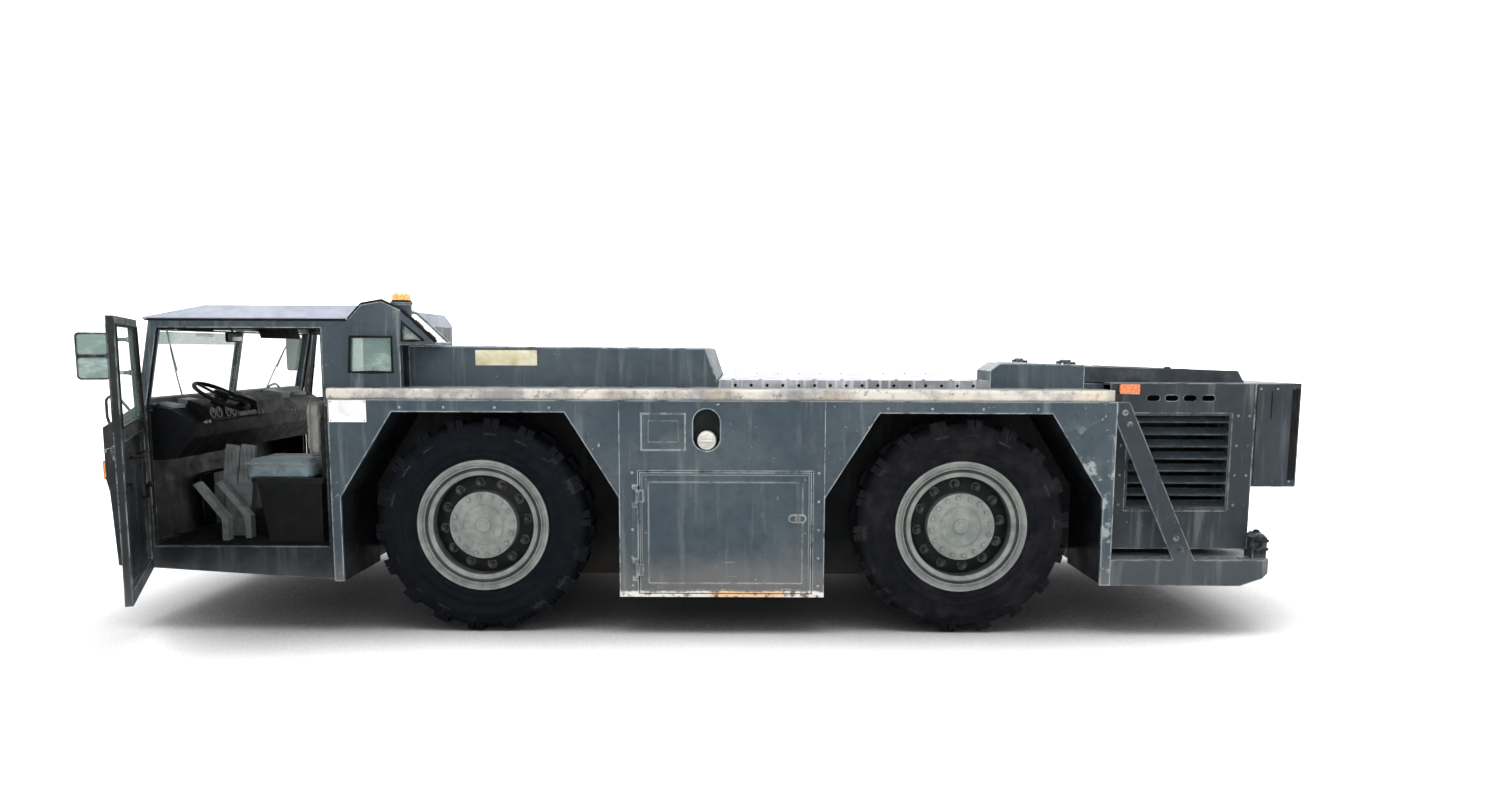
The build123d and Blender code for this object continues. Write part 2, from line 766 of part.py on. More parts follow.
def make_cab_rear():
    """Back wall of the cab and the driver's rear corner with its beacon stand."""
    half = CAB_HALF - CAB_SIDE
    corner_width = half - TURRET_INNER
    window_middle = (half - TURRET_INNER) / 2
    with BuildPart() as rear:
        with BuildSketch(side_plane(-1, TURRET_INNER)):
            outline(
                (CAP_FRONT, ROOF_EDGE - 40),
                (CAP_FRONT, ROOF_EDGE),
                (CAP_TOP[0] - 118, CAP_TOP[1] - 21),
                CAP_TOP,
                CAP_REAR,
                (CAP_REAR[0] - 22, CAP_REAR[1] - 28),
                (CAP_TOP[0], CAP_TOP[1] - 24),
                (CAP_TOP[0] - 108, CAP_TOP[1] - 44),
                (CAP_FRONT + 22, ROOF_EDGE - 40),
            )
            outline(
                WINDOW_LOW,
                (WINDOW_LOW[0], FRONT_HOOD_TOP),
                (WINDOW_LOW[0] - 44, FRONT_HOOD_TOP),
                (WINDOW_LOW[0] - 44, WINDOW_LOW[1] + 5),
                (WINDOW_LOW[0] - 8, WINDOW_LOW[1] + 5),
            )
        extrude(amount=corner_width)
        with BuildSketch(side_plane(-1, TURRET_INNER - TURRET_WALL)):
            outline(*turret_outline(), (CAP_FRONT, DECK_TOP))
        extrude(amount=TURRET_WALL)
        with BuildSketch(cross_plane(CAP_FRONT - BACK_WALL)):
            with Locations((window_middle, (DECK_TOP + ROOF_EDGE) / 2)):
                Rectangle(half + TURRET_INNER, ROOF_EDGE - DECK_TOP)
            with Locations((window_middle, sum(BACK_WINDOW) / 2)):
                Rectangle(BACK_WINDOW_WIDTH, BACK_WINDOW[1] - BACK_WINDOW[0], mode=Mode.SUBTRACT)
        extrude(amount=BACK_WALL)
        with BuildSketch(Plane.XY.offset(CAP_REAR[1] - 30)):
            with Locations((BEACON_X, BEACON_Y)):
                Circle(BEACON_RADIUS)
        extrude(amount=BEACON_Z - CAP_REAR[1] + 30)
        with BuildSketch(Plane.XY.offset(BEACON_Z - 14)):
            with Locations((BEACON_X, BEACON_Y)):
                Circle(BEACON_RADIUS + 6)
        extrude(amount=14)
        add(rear_pane(), mode=Mode.SUBTRACT)
    save(rear, "cab_rear_cap")


def make_roof():
    """Shallow hipped roof panel between the screen and the rear cap."""
    front = SCREEN_TOP[0] - 29
    length = CAP_FRONT - front
    width = 2 * CAB_HALF + 16
    inner_length = length - 120
    inner_width = width - 116
    with BuildPart() as roof:
        for level in (ROOF_EDGE, ROOF_EDGE + 14):
            with BuildSketch(Plane.XY.offset(level)):
                with Locations((front + length / 2, 0)):
                    Rectangle(length, width)
        with BuildSketch(Plane.XY.offset(ROOF_TOP)):
            with Locations((front + (length + ROOF_HIP) / 2, 0)):
                Rectangle(length - ROOF_HIP, width - 2 * ROOF_HIP_SIDE)
        loft(ruled=True)
        with BuildSketch(Plane.XY.offset(ROOF_EDGE)):
            with Locations((front + length / 2, 0)):
                Rectangle(inner_length, inner_width)
        with BuildSketch(Plane.XY.offset(ROOF_TOP - ROOF_SHELL)):
            with Locations((front + length / 2 + 110, 0)):
                Rectangle(inner_length - 220, inner_width - 2 * (ROOF_HIP_SIDE - 33))
        loft(ruled=True, mode=Mode.SUBTRACT)
    save(roof, "roof")


def screen_pane(side):
    """One flat pane of the windscreen, standing in the screen's lean."""
    run = SCREEN_TOP[0] - SCREEN_BASE[0]
    rise = SCREEN_TOP[1] - SCREEN_BASE[1]
    height = hypot(run, rise)
    plane = Plane(
        origin=(SCREEN_BASE[0] + 14, 0, BELT),
        x_dir=(0, 1, 0),
        z_dir=(rise / height, 0, -run / height),
    )
    inner = SCREEN_POST - SCREEN_LAP
    outer = CAB_HALF - CAB_SIDE
    low = SCREEN_BAR - SCREEN_LAP
    high = height - SCREEN_BAR - 22 + SCREEN_LAP
    with BuildPart(mode=Mode.PRIVATE) as pane:
        with BuildSketch(plane):
            with Locations((side * (inner + outer) / 2, (low + high) / 2)):
                Rectangle(outer - inner, high - low)
        extrude(amount=GLASS)
    return pane.part


def rear_pane():
    """The sloping pane at the back of the driver's rear corner."""
    run = WINDOW_LOW[0] - CAP_REAR[0]
    drop = WINDOW_LOW[1] - CAP_REAR[1]
    length = hypot(run, drop)
    half = CAB_HALF - CAB_SIDE
    plane = Plane(
        origin=((CAP_REAR[0] + WINDOW_LOW[0]) / 2, 0, (CAP_REAR[1] + WINDOW_LOW[1]) / 2),
        x_dir=(0, 1, 0),
        z_dir=(-drop / length, 0, run / length),
    )
    with BuildPart(mode=Mode.PRIVATE) as pane:
        with BuildSketch(plane.offset(-6)):
            with Locations((-(half + TURRET_INNER) / 2, 0)):
                Rectangle(half - TURRET_INNER, length - 24)
        extrude(amount=-GLASS)
    return pane.part


def make_windscreen():
    """Two flat panes let into the screen frame."""
    with BuildPart() as panes:
        add(screen_pane(-1))
        add(screen_pane(1))
    save(panes, "windscreen")


def make_cab_glass():
    """Panes of the driver's rear corner and of the back wall."""
    with BuildPart() as glass:
        with BuildSketch(side_plane(-1, CAB_HALF - 28)):
            outline(*SIDE_WINDOW)
            outline(*TURRET_WINDOW)
        extrude(amount=GLASS)
        add(rear_pane())
        with BuildSketch(cross_plane(CAP_FRONT - BACK_WALL / 2)):
            with Locations(((CAB_HALF - CAB_SIDE - TURRET_INNER) / 2, sum(BACK_WINDOW) / 2)):
                Rectangle(BACK_WINDOW_WIDTH, BACK_WINDOW[1] - BACK_WINDOW[0])
        extrude(amount=GLASS)
    save(glass, "cab_glass")


def leaf_plane(side, distance):
    """Upright plane along an open cab door, at a distance outward from its hinge pin."""
    turn = radians(DOOR_OPEN)
    along = Vector(cos(turn), side * sin(turn), 0)
    outward = Vector(-sin(turn), side * cos(turn), 0)
    pin = Vector(DOOR_AXIS_X, side * DOOR_AXIS_Y, 0)
    return Plane(origin=pin + outward * distance, x_dir=along, z_dir=outward * -side)


def leaf_floor(side, z):
    """Level plane at z with its origin on a door's hinge pin and x along the door."""
    turn = radians(DOOR_OPEN)
    return Plane(
        origin=(DOOR_AXIS_X, side * DOOR_AXIS_Y, z),
        x_dir=(cos(turn), side * sin(turn), 0),
        z_dir=(0, 0, 1),
    )


def door_mirror(side):
    """Two-part mirror across the door, on two straight arms."""
    face = leaf_plane(side, 0)
    plane = Plane(origin=face.origin + face.x_dir * MIRROR_U, x_dir=(0, 0, 1), z_dir=face.x_dir)
    middle = -side * plane.y_dir.dot(face.z_dir) * (MIRROR_REACH + MIRROR_WIDTH / 2)
    base = DOOR_INNER + DOOR_SKIN - 4
    with BuildPart(mode=Mode.PRIVATE) as mirror:
        with BuildSketch(plane):
            with Locations((MIRROR_Z, middle)):
                RectangleRounded(MIRROR_HEIGHT, MIRROR_WIDTH, 24)
        extrude(amount=-26)
        with BuildSketch(plane):
            with Locations((MIRROR_Z, middle)):
                with GridLocations(MIRROR_HEIGHT / 2, 0, 2, 1):
                    RectangleRounded(MIRROR_HEIGHT / 2 - 24, MIRROR_WIDTH - 24, 14)
        extrude(amount=-5, mode=Mode.SUBTRACT)
        for z in (MIRROR_Z - MIRROR_HEIGHT / 2 + 40, MIRROR_Z + MIRROR_HEIGHT / 2 - 40):
            with BuildSketch(leaf_plane(side, base)):
                with Locations((MIRROR_U - 13, z)):
                    Circle(11)
            extrude(amount=-side * (MIRROR_REACH + 20 - base))
    return mirror.part


def make_cab_door(word, side):
    """Door leaf with a window frame, standing open about its front pin."""
    lean = (SCREEN_TOP[0] - SCREEN_BASE[0]) / (SCREEN_TOP[1] - SCREEN_BASE[1])
    top = ROOF_EDGE - 8
    with BuildPart() as leaf:
        with BuildSketch(leaf_plane(side, DOOR_INNER)):
            outline(
                (DOOR_EDGE, DOOR_BOTTOM),
                (DOOR_EDGE, BELT),
                (DOOR_EDGE + lean * (top - BELT), top),
                (DOOR_LENGTH, top),
                (DOOR_LENGTH, DOOR_BOTTOM),
            )
            cut_outline(
                (DOOR_EDGE + DOOR_RIM, DOOR_SILL),
                (DOOR_EDGE + DOOR_RIM, BELT),
                (DOOR_EDGE + DOOR_RIM + lean * (top - DOOR_RIM - BELT), top - DOOR_RIM),
                (DOOR_LENGTH - DOOR_RIM, top - DOOR_RIM),
                (DOOR_LENGTH - DOOR_RIM, DOOR_SILL),
            )
        extrude(amount=-side * DOOR_SKIN)
        with BuildSketch(leaf_plane(side, DOOR_INNER)):
            with Locations(((DOOR_LENGTH + DOOR_EDGE) / 2, (DOOR_BOTTOM + DOOR_SILL) / 2)):
                Rectangle(DOOR_LENGTH - 140, DOOR_SILL - DOOR_BOTTOM - 140)
        extrude(amount=-side * (DOOR_SKIN - 12), mode=Mode.SUBTRACT)
        with BuildSketch(leaf_plane(side, DOOR_INNER + DOOR_SKIN)):
            with Locations((DOOR_LENGTH - 90, DOOR_SILL - 110)):
                SlotOverall(150, 46)
        extrude(amount=-side * 14)
        for z in DOOR_HINGES:
            with BuildSketch(leaf_floor(side, z - 50)):
                Circle(14)
                with Locations((DOOR_EDGE + 10, -side * 15)):
                    Rectangle(DOOR_EDGE + 30, 12)
            extrude(amount=100)
            with BuildSketch(leaf_floor(side, z - 50)):
                Circle(DOOR_PIN + PIN_CLEARANCE)
            extrude(amount=100, mode=Mode.SUBTRACT)
        add(door_mirror(side))
    save(leaf, f"cab_door_{word}")

    with BuildPart() as pane:
        with BuildSketch(leaf_plane(side, DOOR_INNER + DOOR_SKIN / 2)):
            outline(
                (DOOR_EDGE + DOOR_RIM, DOOR_SILL),
                (DOOR_EDGE + DOOR_RIM, BELT),
                (DOOR_EDGE + DOOR_RIM + lean * (top - DOOR_RIM - BELT), top - DOOR_RIM),
                (DOOR_LENGTH - DOOR_RIM, top - DOOR_RIM),
                (DOOR_LENGTH - DOOR_RIM, DOOR_SILL),
            )
        extrude(amount=-side * GLASS)
    save(pane, f"door_glass_{word}")


# Cab fittings

def make_dash():
    """Dash panel across the cab with a hood over the gauges."""
    front = SCREEN_BASE[0] + 50
    with BuildPart() as dash:
        with BuildSketch(Plane.XZ):
            outline(
                (front - 150, 1020),
                (front, BELT - 40),
                (front, BELT - 12),
                (front + 110, BELT - 30),
                (front + 250, BELT - 120),
                (front + 235, BELT - 200),
                (front + 120, 1040),
            )
        extrude(amount=CAB_HALF - CAB_SKIN - 30, both=True)
        with BuildSketch(Plane.XZ):
            outline(
                (front + 90, BELT - 40),
                (front + 120, BELT + 26),
                (front + 235, BELT - 20),
                (front + 240, BELT - 130),
            )
        extrude(amount=220, both=True)
        with BuildSketch(side_plane(-1, DRIVER_Y - 190)):
            outline(
                (front + 90, BELT - 40),
                (front + 110, BELT + 16),
                (front + 225, BELT - 26),
                (front + 240, BELT - 130),
            )
        extrude(amount=380)
        with BuildSketch(steering_plane()):
            Circle(30)
        extrude(amount=-STEER_COLUMN, mode=Mode.SUBTRACT)
    save(dash, "dash")


def steering_plane():
    """Plane of the hand wheel, tilted toward the driver."""
    tilt = radians(STEER_TILT)
    return Plane(
        origin=(STEER_X, -DRIVER_Y, STEER_Z),
        x_dir=(0, 1, 0),
        z_dir=(sin(tilt), 0, cos(tilt)),
    )


def make_steering_wheel():
    """Hand wheel with three spokes on its column."""
    plane = steering_plane()
    with BuildPart() as wheel:
        with BuildSketch(Plane(origin=plane.origin, x_dir=plane.y_dir, z_dir=plane.x_dir)):
            with Locations((STEER_RADIUS, 0)):
                RegularPolygon(STEER_GRIP, 8)
        revolve(axis=Axis(plane.origin, plane.z_dir))
        with BuildSketch(plane.offset(-18)):
            Circle(42)
        extrude(amount=30)
        with BuildSketch(plane.offset(-8)):
            with PolarLocations(STEER_RADIUS / 2, 3, start_angle=90):
                Rectangle(STEER_RADIUS, STEER_SPOKE)
        extrude(amount=12)
        with BuildSketch(plane.offset(-18)):
            Circle(30)
        extrude(amount=18 - STEER_COLUMN)
    save(wheel, "steering_wheel")


def make_controls():
    """Ribbed column covers, two slanting pedals and a hand brake lever."""
    with BuildPart() as controls:
        for x in COLUMN_COVERS:
            with BuildSketch(side_plane(-1, DRIVER_Y - 60)):
                with Locations((x, COLUMN_COVER_Z)):
                    Rectangle(88, 250, rotation=-8)
            extrude(amount=30)
            with BuildSketch(side_plane(-1, DRIVER_Y - 30)):
                with Locations((x, COLUMN_COVER_Z)):
                    with GridLocations(28, 0, 3, 1):
                        Rectangle(10, 200)
            extrude(amount=8)
        with BuildSketch(side_plane(-1, DRIVER_Y - 130)):
            outline(
                (-3080, FLOOR_TOP),
                (-3080, 980),
                (-2880, 980),
                (-2950, FLOOR_TOP),
            )
        extrude(amount=70)
        for x, shift in PEDALS:
            with BuildSketch(side_plane(-1, DRIVER_Y + shift - 32)):
                outline(
                    (x - 20, 850),
                    (x + 14, 866),
                    (x + 190, 640),
                    (x + 190, FLOOR_TOP),
                    (x + 150, FLOOR_TOP),
                    (x + 150, 630),
                )
            extrude(amount=64)
        with BuildSketch(side_plane(-1, DRIVER_Y - 320)):
            outline(
                (-2830, FLOOR_TOP),
                (-2915, 840),
                (-3040, 812),
                (-3040, 846),
                (-2890, 880),
                (-2790, FLOOR_TOP),
            )
        extrude(amount=36)
    save(controls, "driver_controls")


def make_seats():
    """Pedestals with back plates, and the plain soft parts of the two seats."""
    with BuildPart() as bases:
        for middle in (-DRIVER_Y, DRIVER_Y):
            with BuildSketch(Plane.XY.offset(FLOOR_TOP)):
                with Locations((SEAT_X + 20, middle)):
                    Rectangle(330, 340)
            with BuildSketch(Plane.XY.offset(SEAT_Z - SEAT_PAN)):
                with Locations((SEAT_X, middle)):
                    Rectangle(400, 400)
            loft(ruled=True)
            with BuildSketch(Plane.XY.offset(SEAT_Z - SEAT_PAN)):
                with Locations((SEAT_X, middle)):
                    RectangleRounded(SEAT_DEPTH, SEAT_WIDTH, 20)
            extrude(amount=SEAT_PAN)
            with BuildSketch(cross_plane(SEAT_X + SEAT_DEPTH / 2 - 25)):
                with Locations((middle, SEAT_Z + 170)):
                    RectangleRounded(SEAT_WIDTH - 60, 400, 30)
            extrude(amount=20)
    save(bases, "seat_bases")

    with BuildPart() as cushions:
        for middle in (-DRIVER_Y, DRIVER_Y):
            with BuildSketch(Plane.XY.offset(SEAT_Z)):
                with Locations((SEAT_X - 55, middle)):
                    RectangleRounded(SEAT_DEPTH - 10, SEAT_WIDTH + 20, 60)
            extrude(amount=SEAT_PAD)
        chamfer(cushions.faces().group_by(Axis.Z)[-1].edges(), length=24)
    save(cushions, "seat_cushions")

    with BuildPart() as backs:
        for middle in (-DRIVER_Y, DRIVER_Y):
            with BuildSketch(cross_plane(SEAT_X + SEAT_DEPTH / 2 - 25)):
                with Locations((middle, SEAT_Z + SEAT_PAD + SEAT_WIDTH / 2 - 30)):
                    RectangleRounded(SEAT_WIDTH, 360, 60)
            extrude(amount=-80)
        chamfer(backs.faces().group_by(Axis.X)[0].edges(), length=24)
    save(backs, "seat_backs")


def make_lamps():
    """Amber corner lamps, head lamps and the beacon."""
    with BuildPart() as lamps:
        for side in (-1, 1):
            with BuildSketch(cross_plane(NOSE_X)):
                with Locations((side * (CAB_HALF - 62), NOSE_NOTCH + 58)):
                    RectangleRounded(110, 108, 16)
            extrude(amount=-18)
            with BuildSketch(side_plane(side, BAY_HALF)):
                with Locations((CORNER_LAMP_X, BAY_TOP - 36)):
                    RectangleRounded(118, 62, 12)
            extrude(amount=-side * 22)
    save(lamps, "corner_lamps")

    with BuildPart() as lights:
        for side in (-1, 1):
            with BuildSketch(cross_plane(CHIN_LOW[0] + 30)):
                with Locations((side * LAMP_Y, LAMP_Z)):
                    Circle(LAMP_RADIUS)
            extrude(amount=-30)
            with BuildSketch(cross_plane(CHIN_LOW[0])):
                with Locations((side * LAMP_Y, LAMP_Z)):
                    Circle(LAMP_RADIUS)
                    Circle(LAMP_RADIUS - 14, mode=Mode.SUBTRACT)
            extrude(amount=-22)
    save(lights, "head_lamps")

    with BuildPart() as beacon:
        with BuildSketch(Plane.XZ.offset(-BEACON_Y)):
            outline(
                (BEACON_X, BEACON_Z),
                (BEACON_X + BEACON_RADIUS - 2, BEACON_Z),
                (BEACON_X + BEACON_RADIUS - 4, BEACON_Z + BEACON_HEIGHT - 16),
                (BEACON_X + BEACON_RADIUS - 20, BEACON_Z + BEACON_HEIGHT - 2),
                (BEACON_X, BEACON_Z + BEACON_HEIGHT),
            )
        revolve(axis=Axis((BEACON_X, BEACON_Y, BEACON_Z), (0, 0, 1)))
    save(beacon, "beacon")


# Rear end

def make_rear_bay():
    """Engine bay walls with side openings for the louvres and a hatch in the top."""
    with BuildPart() as bay:
        with BuildSketch(Plane.XY.offset(BAY_BOTTOM)):
            with Locations(((BODY_REAR + BAY_REAR) / 2, 0)):
                Rectangle(BAY_REAR - BODY_REAR, 2 * BAY_HALF)
            with Locations(((BODY_REAR + BAY_REAR - BAY_WALL) / 2, 0)):
                Rectangle(BAY_REAR - BODY_REAR - BAY_WALL, 2 * (BAY_HALF - BAY_WALL), mode=Mode.SUBTRACT)
        extrude(amount=BAY_TOP - BAY_BOTTOM)
        with BuildSketch(Plane.XY.offset(BAY_TOP - BAY_WALL)):
            with Locations(((BODY_REAR + BAY_REAR) / 2, 0)):
                Rectangle(BAY_REAR - BODY_REAR, 2 * BAY_HALF)
            with Locations(((BODY_REAR + COVER_REAR) / 2 - 10, 0)):
                Rectangle(COVER_REAR - BODY_REAR - 160, 2 * HOOD_HALF - 300, mode=Mode.SUBTRACT)
        extrude(amount=BAY_WALL)
        with BuildSketch(Plane.XZ):
            with Locations(((LOUVRE_FRONT + LOUVRE_REAR) / 2, (LOUVRE_LOW + LOUVRE_HIGH) / 2)):
                Rectangle(LOUVRE_REAR - LOUVRE_FRONT, LOUVRE_HIGH - LOUVRE_LOW)
            with Locations(((LOUVRE_FRONT + LOUVRE_REAR) / 2, (LOUVRE_HIGH + BAY_TOP) / 2)):
                with GridLocations(110, 0, 4, 1):
                    SlotOverall(78, 34)
        extrude(amount=2 * BAY_HALF, both=True, mode=Mode.SUBTRACT)
    save(bay, "rear_bay")


def make_louvres():
    """Frames in the bay sides with sloping blades between their posts."""
    length = LOUVRE_REAR - LOUVRE_FRONT
    height = LOUVRE_HIGH - LOUVRE_LOW
    pitch = height / LOUVRE_COUNT
    middle = (LOUVRE_FRONT + LOUVRE_REAR) / 2
    rim = 14
    depth = 70
    with BuildPart() as louvres:
        for side in (-1, 1):
            with BuildSketch(side_plane(side, BAY_HALF - depth)):
                with Locations((middle, LOUVRE_LOW + height / 2)):
                    Rectangle(length, height)
                    Rectangle(length - 2 * rim, height - 2 * rim, mode=Mode.SUBTRACT)
            extrude(amount=-side * depth)
            with BuildSketch(cross_plane(LOUVRE_FRONT + rim)):
                for index in range(LOUVRE_COUNT):
                    z = LOUVRE_LOW + (index + 0.5) * pitch
                    with Locations((side * (BAY_HALF - depth / 2), z)):
                        Rectangle(depth - 4, 7, rotation=-side * LOUVRE_TILT)
            extrude(amount=length - 2 * rim)
    save(louvres, "louvres")


def make_engine():
    """Engine as one plain block standing on the tail of the main frame."""
    with BuildPart() as engine:
        with BuildSketch(Plane.XY.offset(TAIL_TOP)):
            with Locations(((BODY_REAR + BAY_REAR) / 2, 0)):
                Rectangle(ENGINE_LENGTH, ENGINE_WIDTH)
        extrude(amount=BAY_TOP - TAIL_TOP - 90)
        fillet(engine.edges().filter_by(Axis.Z), radius=40)
    save(engine, "engine_block")


def make_engine_cover():
    """Hollow lid over the engine bay, turning on pins at its front edge."""
    half = HOOD_HALF - 40
    with BuildPart() as cover:
        with BuildSketch(Plane.XZ):
            outline(
                (COVER_FRONT, BAY_TOP + 1),
                (COVER_FRONT, COVER_TOP),
                (COVER_REAR - 40, COVER_TOP - 22),
                (COVER_REAR, BAY_TOP + 1),
            )
        extrude(amount=half, both=True)
        with BuildSketch(Plane.XZ):
            outline(
                (COVER_FRONT + 8, BAY_TOP),
                (COVER_FRONT + 8, COVER_TOP - 10),
                (COVER_REAR - 52, COVER_TOP - 32),
                (COVER_REAR - 14, BAY_TOP),
            )
        extrude(amount=half - 8, both=True, mode=Mode.SUBTRACT)
        for y in (-COVER_HINGE_Y, COVER_HINGE_Y):
            with BuildSketch(Plane.XZ.offset(-y - COVER_BARREL / 2)):
                with Locations((COVER_AXIS_X, COVER_AXIS_Z)):
                    Circle(12)
                with Locations((COVER_AXIS_X + 26, COVER_AXIS_Z - 8)):
                    Rectangle(52, 8)
                with Locations((COVER_AXIS_X + 45, (COVER_AXIS_Z + COVER_TOP) / 2 - 8)):
                    Rectangle(14, COVER_AXIS_Z - COVER_TOP + 8)
            extrude(amount=COVER_BARREL)
            with BuildSketch(Plane.XZ.offset(-y - COVER_BARREL / 2)):
                with Locations((COVER_AXIS_X, COVER_AXIS_Z)):
                    Circle(COVER_PIN + PIN_CLEARANCE)
            extrude(amount=COVER_BARREL, mode=Mode.SUBTRACT)
    save(cover, "engine_cover")


def make_radiator_box():
    """Overhanging box behind the bay, open at the back for the grille."""
    with BuildPart() as box:
        with BuildSketch(Plane.XZ):
            outline(
                (BAY_REAR, BOX_BOTTOM),
                (BAY_REAR, BAY_TOP),
                (BOX_REAR, BAY_TOP),
                (BOX_REAR, BOX_BOTTOM + 8),
                (BOX_REAR - 8, BOX_BOTTOM),
            )
        extrude(amount=BAY_HALF, both=True)
        with BuildSketch(cross_plane(BOX_REAR)):
            with Locations((0, (BAY_TOP + BOX_BOTTOM) / 2)):
                RectangleRounded(2 * BAY_HALF - 90, BAY_TOP - BOX_BOTTOM - 90, 20)
        extrude(amount=-170, mode=Mode.SUBTRACT)
    save(box, "radiator_box")

    with BuildPart() as grille:
        with BuildSketch(cross_plane(BOX_REAR - 60)):
            with Locations((0, (BAY_TOP + BOX_BOTTOM) / 2)):
                RectangleRounded(2 * BAY_HALF - 90, BAY_TOP - BOX_BOTTOM - 90, 20)
                Rectangle(2 * BAY_HALF - 130, BAY_TOP - BOX_BOTTOM - 130, mode=Mode.SUBTRACT)
                with GridLocations(0, 46, 1, 10):
                    Rectangle(2 * BAY_HALF - 120, 12)
                with GridLocations(400, 0, 4, 1):
                    Rectangle(14, BAY_TOP - BOX_BOTTOM - 120)
        extrude(amount=24)
    save(grille, "radiator_grille")


def make_platform():
    """Heavy step across the tail, stayed to the body's corners by flat diagonals."""
    run = BRACE_FOOT[0] - BRACE_HEAD[0]
    drop = BRACE_HEAD[1] - BRACE_FOOT[1]
    slope = run / drop
    half = BRACE_WIDTH / 2 * hypot(run, drop) / drop
    foot = BRACE_HEAD[0] + slope * (BRACE_HEAD[1] - PLATFORM_TOP)
    head = BRACE_HEAD[0] + slope * (BRACE_HEAD[1] - DECK_BOTTOM)
    with BuildPart() as platform:
        with BuildSketch(Plane.XZ):
            outline(
                (BODY_REAR, REAR_SKIRT),
                (BODY_REAR, PLATFORM_TOP),
                (PLATFORM_REAR, PLATFORM_TOP),
                (PLATFORM_REAR, PLATFORM_TOP - 90),
                (PLATFORM_REAR - 190, REAR_SKIRT),
            )
        extrude(amount=HALF_WIDTH, both=True)
        with BuildSketch(Plane.XY.offset(PLATFORM_TOP)):
            for side in (-1, 1):
                with Locations(((BODY_REAR + PLATFORM_REAR) / 2 + 30, side * (BAY_HALF + 60))):
                    with GridLocations(105, 0, 7, 1):
                        Rectangle(88, 30)
        extrude(amount=-16, mode=Mode.SUBTRACT)
        chamfer(platform.edges().filter_by(Axis.Z).group_by(Axis.X)[-1], length=60)
        with BuildSketch(cross_plane(PLATFORM_REAR - BUMPER_DEPTH)):
            for side in (-1, 1):
                with Locations((side * BUMPER_Y, (BUMPER_TOP + PLATFORM_TOP) / 2 - 30)):
                    Rectangle(BUMPER_WIDTH, BUMPER_TOP - PLATFORM_TOP + 60)
        extrude(amount=BUMPER_DEPTH - 14)
        chamfer(platform.faces().filter_by(Axis.Z).sort_by(Axis.Z)[-2:].edges().filter_by(Axis.Y), length=26)
        for side in (-1, 1):
            with BuildSketch(side_plane(side, HALF_WIDTH - BRACE_PLATE)):
                outline(
                    (BODY_REAR, DECK_BOTTOM),
                    (head + half, DECK_BOTTOM),
                    (foot + half, PLATFORM_TOP),
                    (foot - half, PLATFORM_TOP),
                    (BODY_REAR, PLATFORM_TOP + (foot - half - BODY_REAR) / slope),
                )
            extrude(amount=-side * BRACE_PLATE)
    save(platform, "rear_platform")


def make_coupling(label, x, z, reach):
    """Two jaw plates with a pin bore on a back plate; reach is signed along x."""
    direction = 1 if reach > 0 else -1
    with BuildPart() as jaw:
        with BuildSketch(cross_plane(x)):
            with Locations((0, z)):
                RectangleRounded(240, 190, 16)
        extrude(amount=direction * 26)
        for level in (z - 62, z + 32):
            with BuildSketch(Plane.XY.offset(level)):
                with Locations((x + (reach + direction * 20) / 2 - direction * 10, 0)):
                    Rectangle(abs(reach) - 30, 120)
                with Locations((x + reach - direction * 55, 0)):
                    Circle(55)
                    Circle(TOW_BORE, mode=Mode.SUBTRACT)
            extrude(amount=30)
    save(jaw, label)


# Running gear

def make_axle(word, x):
    """Axle beam with its gear case, fork ends and pads up to the frame."""
    with BuildPart() as axle:
        with BuildSketch(Plane.XY.offset(WHEEL_Z)):
            outline(
                (x, 0),
                (x + 215, 0),
                (x + 215, 60),
                (x + 170, 130),
                (x + 105, 200),
                (x + 95, 560),
                (x + 120, KINGPIN_Y - 100),
                (x, KINGPIN_Y - 100),
            )
        revolve(axis=Axis((x, 0, WHEEL_Z), (0, 1, 0)))
        mirror(about=Plane.XZ)
        for side in (-1, 1):
            with BuildSketch(Plane.YZ.offset(x - FORK_RADIUS)):
                with Locations((side * (KINGPIN_Y - 100), WHEEL_Z)):
                    Rectangle(60, 2 * FORK_TOP)
            extrude(amount=2 * FORK_RADIUS)
            for low in (WHEEL_Z - FORK_TOP, WHEEL_Z + FORK_BOTTOM):
                with BuildSketch(Plane.XY.offset(low)):
                    with Locations((x, side * KINGPIN_Y)):
                        Circle(FORK_RADIUS)
                    with Locations((x, side * (KINGPIN_Y - 50))):
                        Rectangle(2 * FORK_RADIUS, 100)
                extrude(amount=FORK_TOP - FORK_BOTTOM)
            with BuildSketch(Plane.XY.offset(WHEEL_Z - FORK_TOP)):
                with Locations((x, side * KINGPIN_Y)):
                    Circle(KINGPIN_RADIUS + PIN_CLEARANCE)
            extrude(amount=2 * FORK_TOP, mode=Mode.SUBTRACT)
            with BuildSketch(Plane.XY.offset(WHEEL_Z)):
                with Locations((x, side * 400)):
                    Rectangle(180, 140)
            extrude(amount=AXLE_BAY_TOP - WHEEL_Z)
    save(axle, f"{word}_axle")


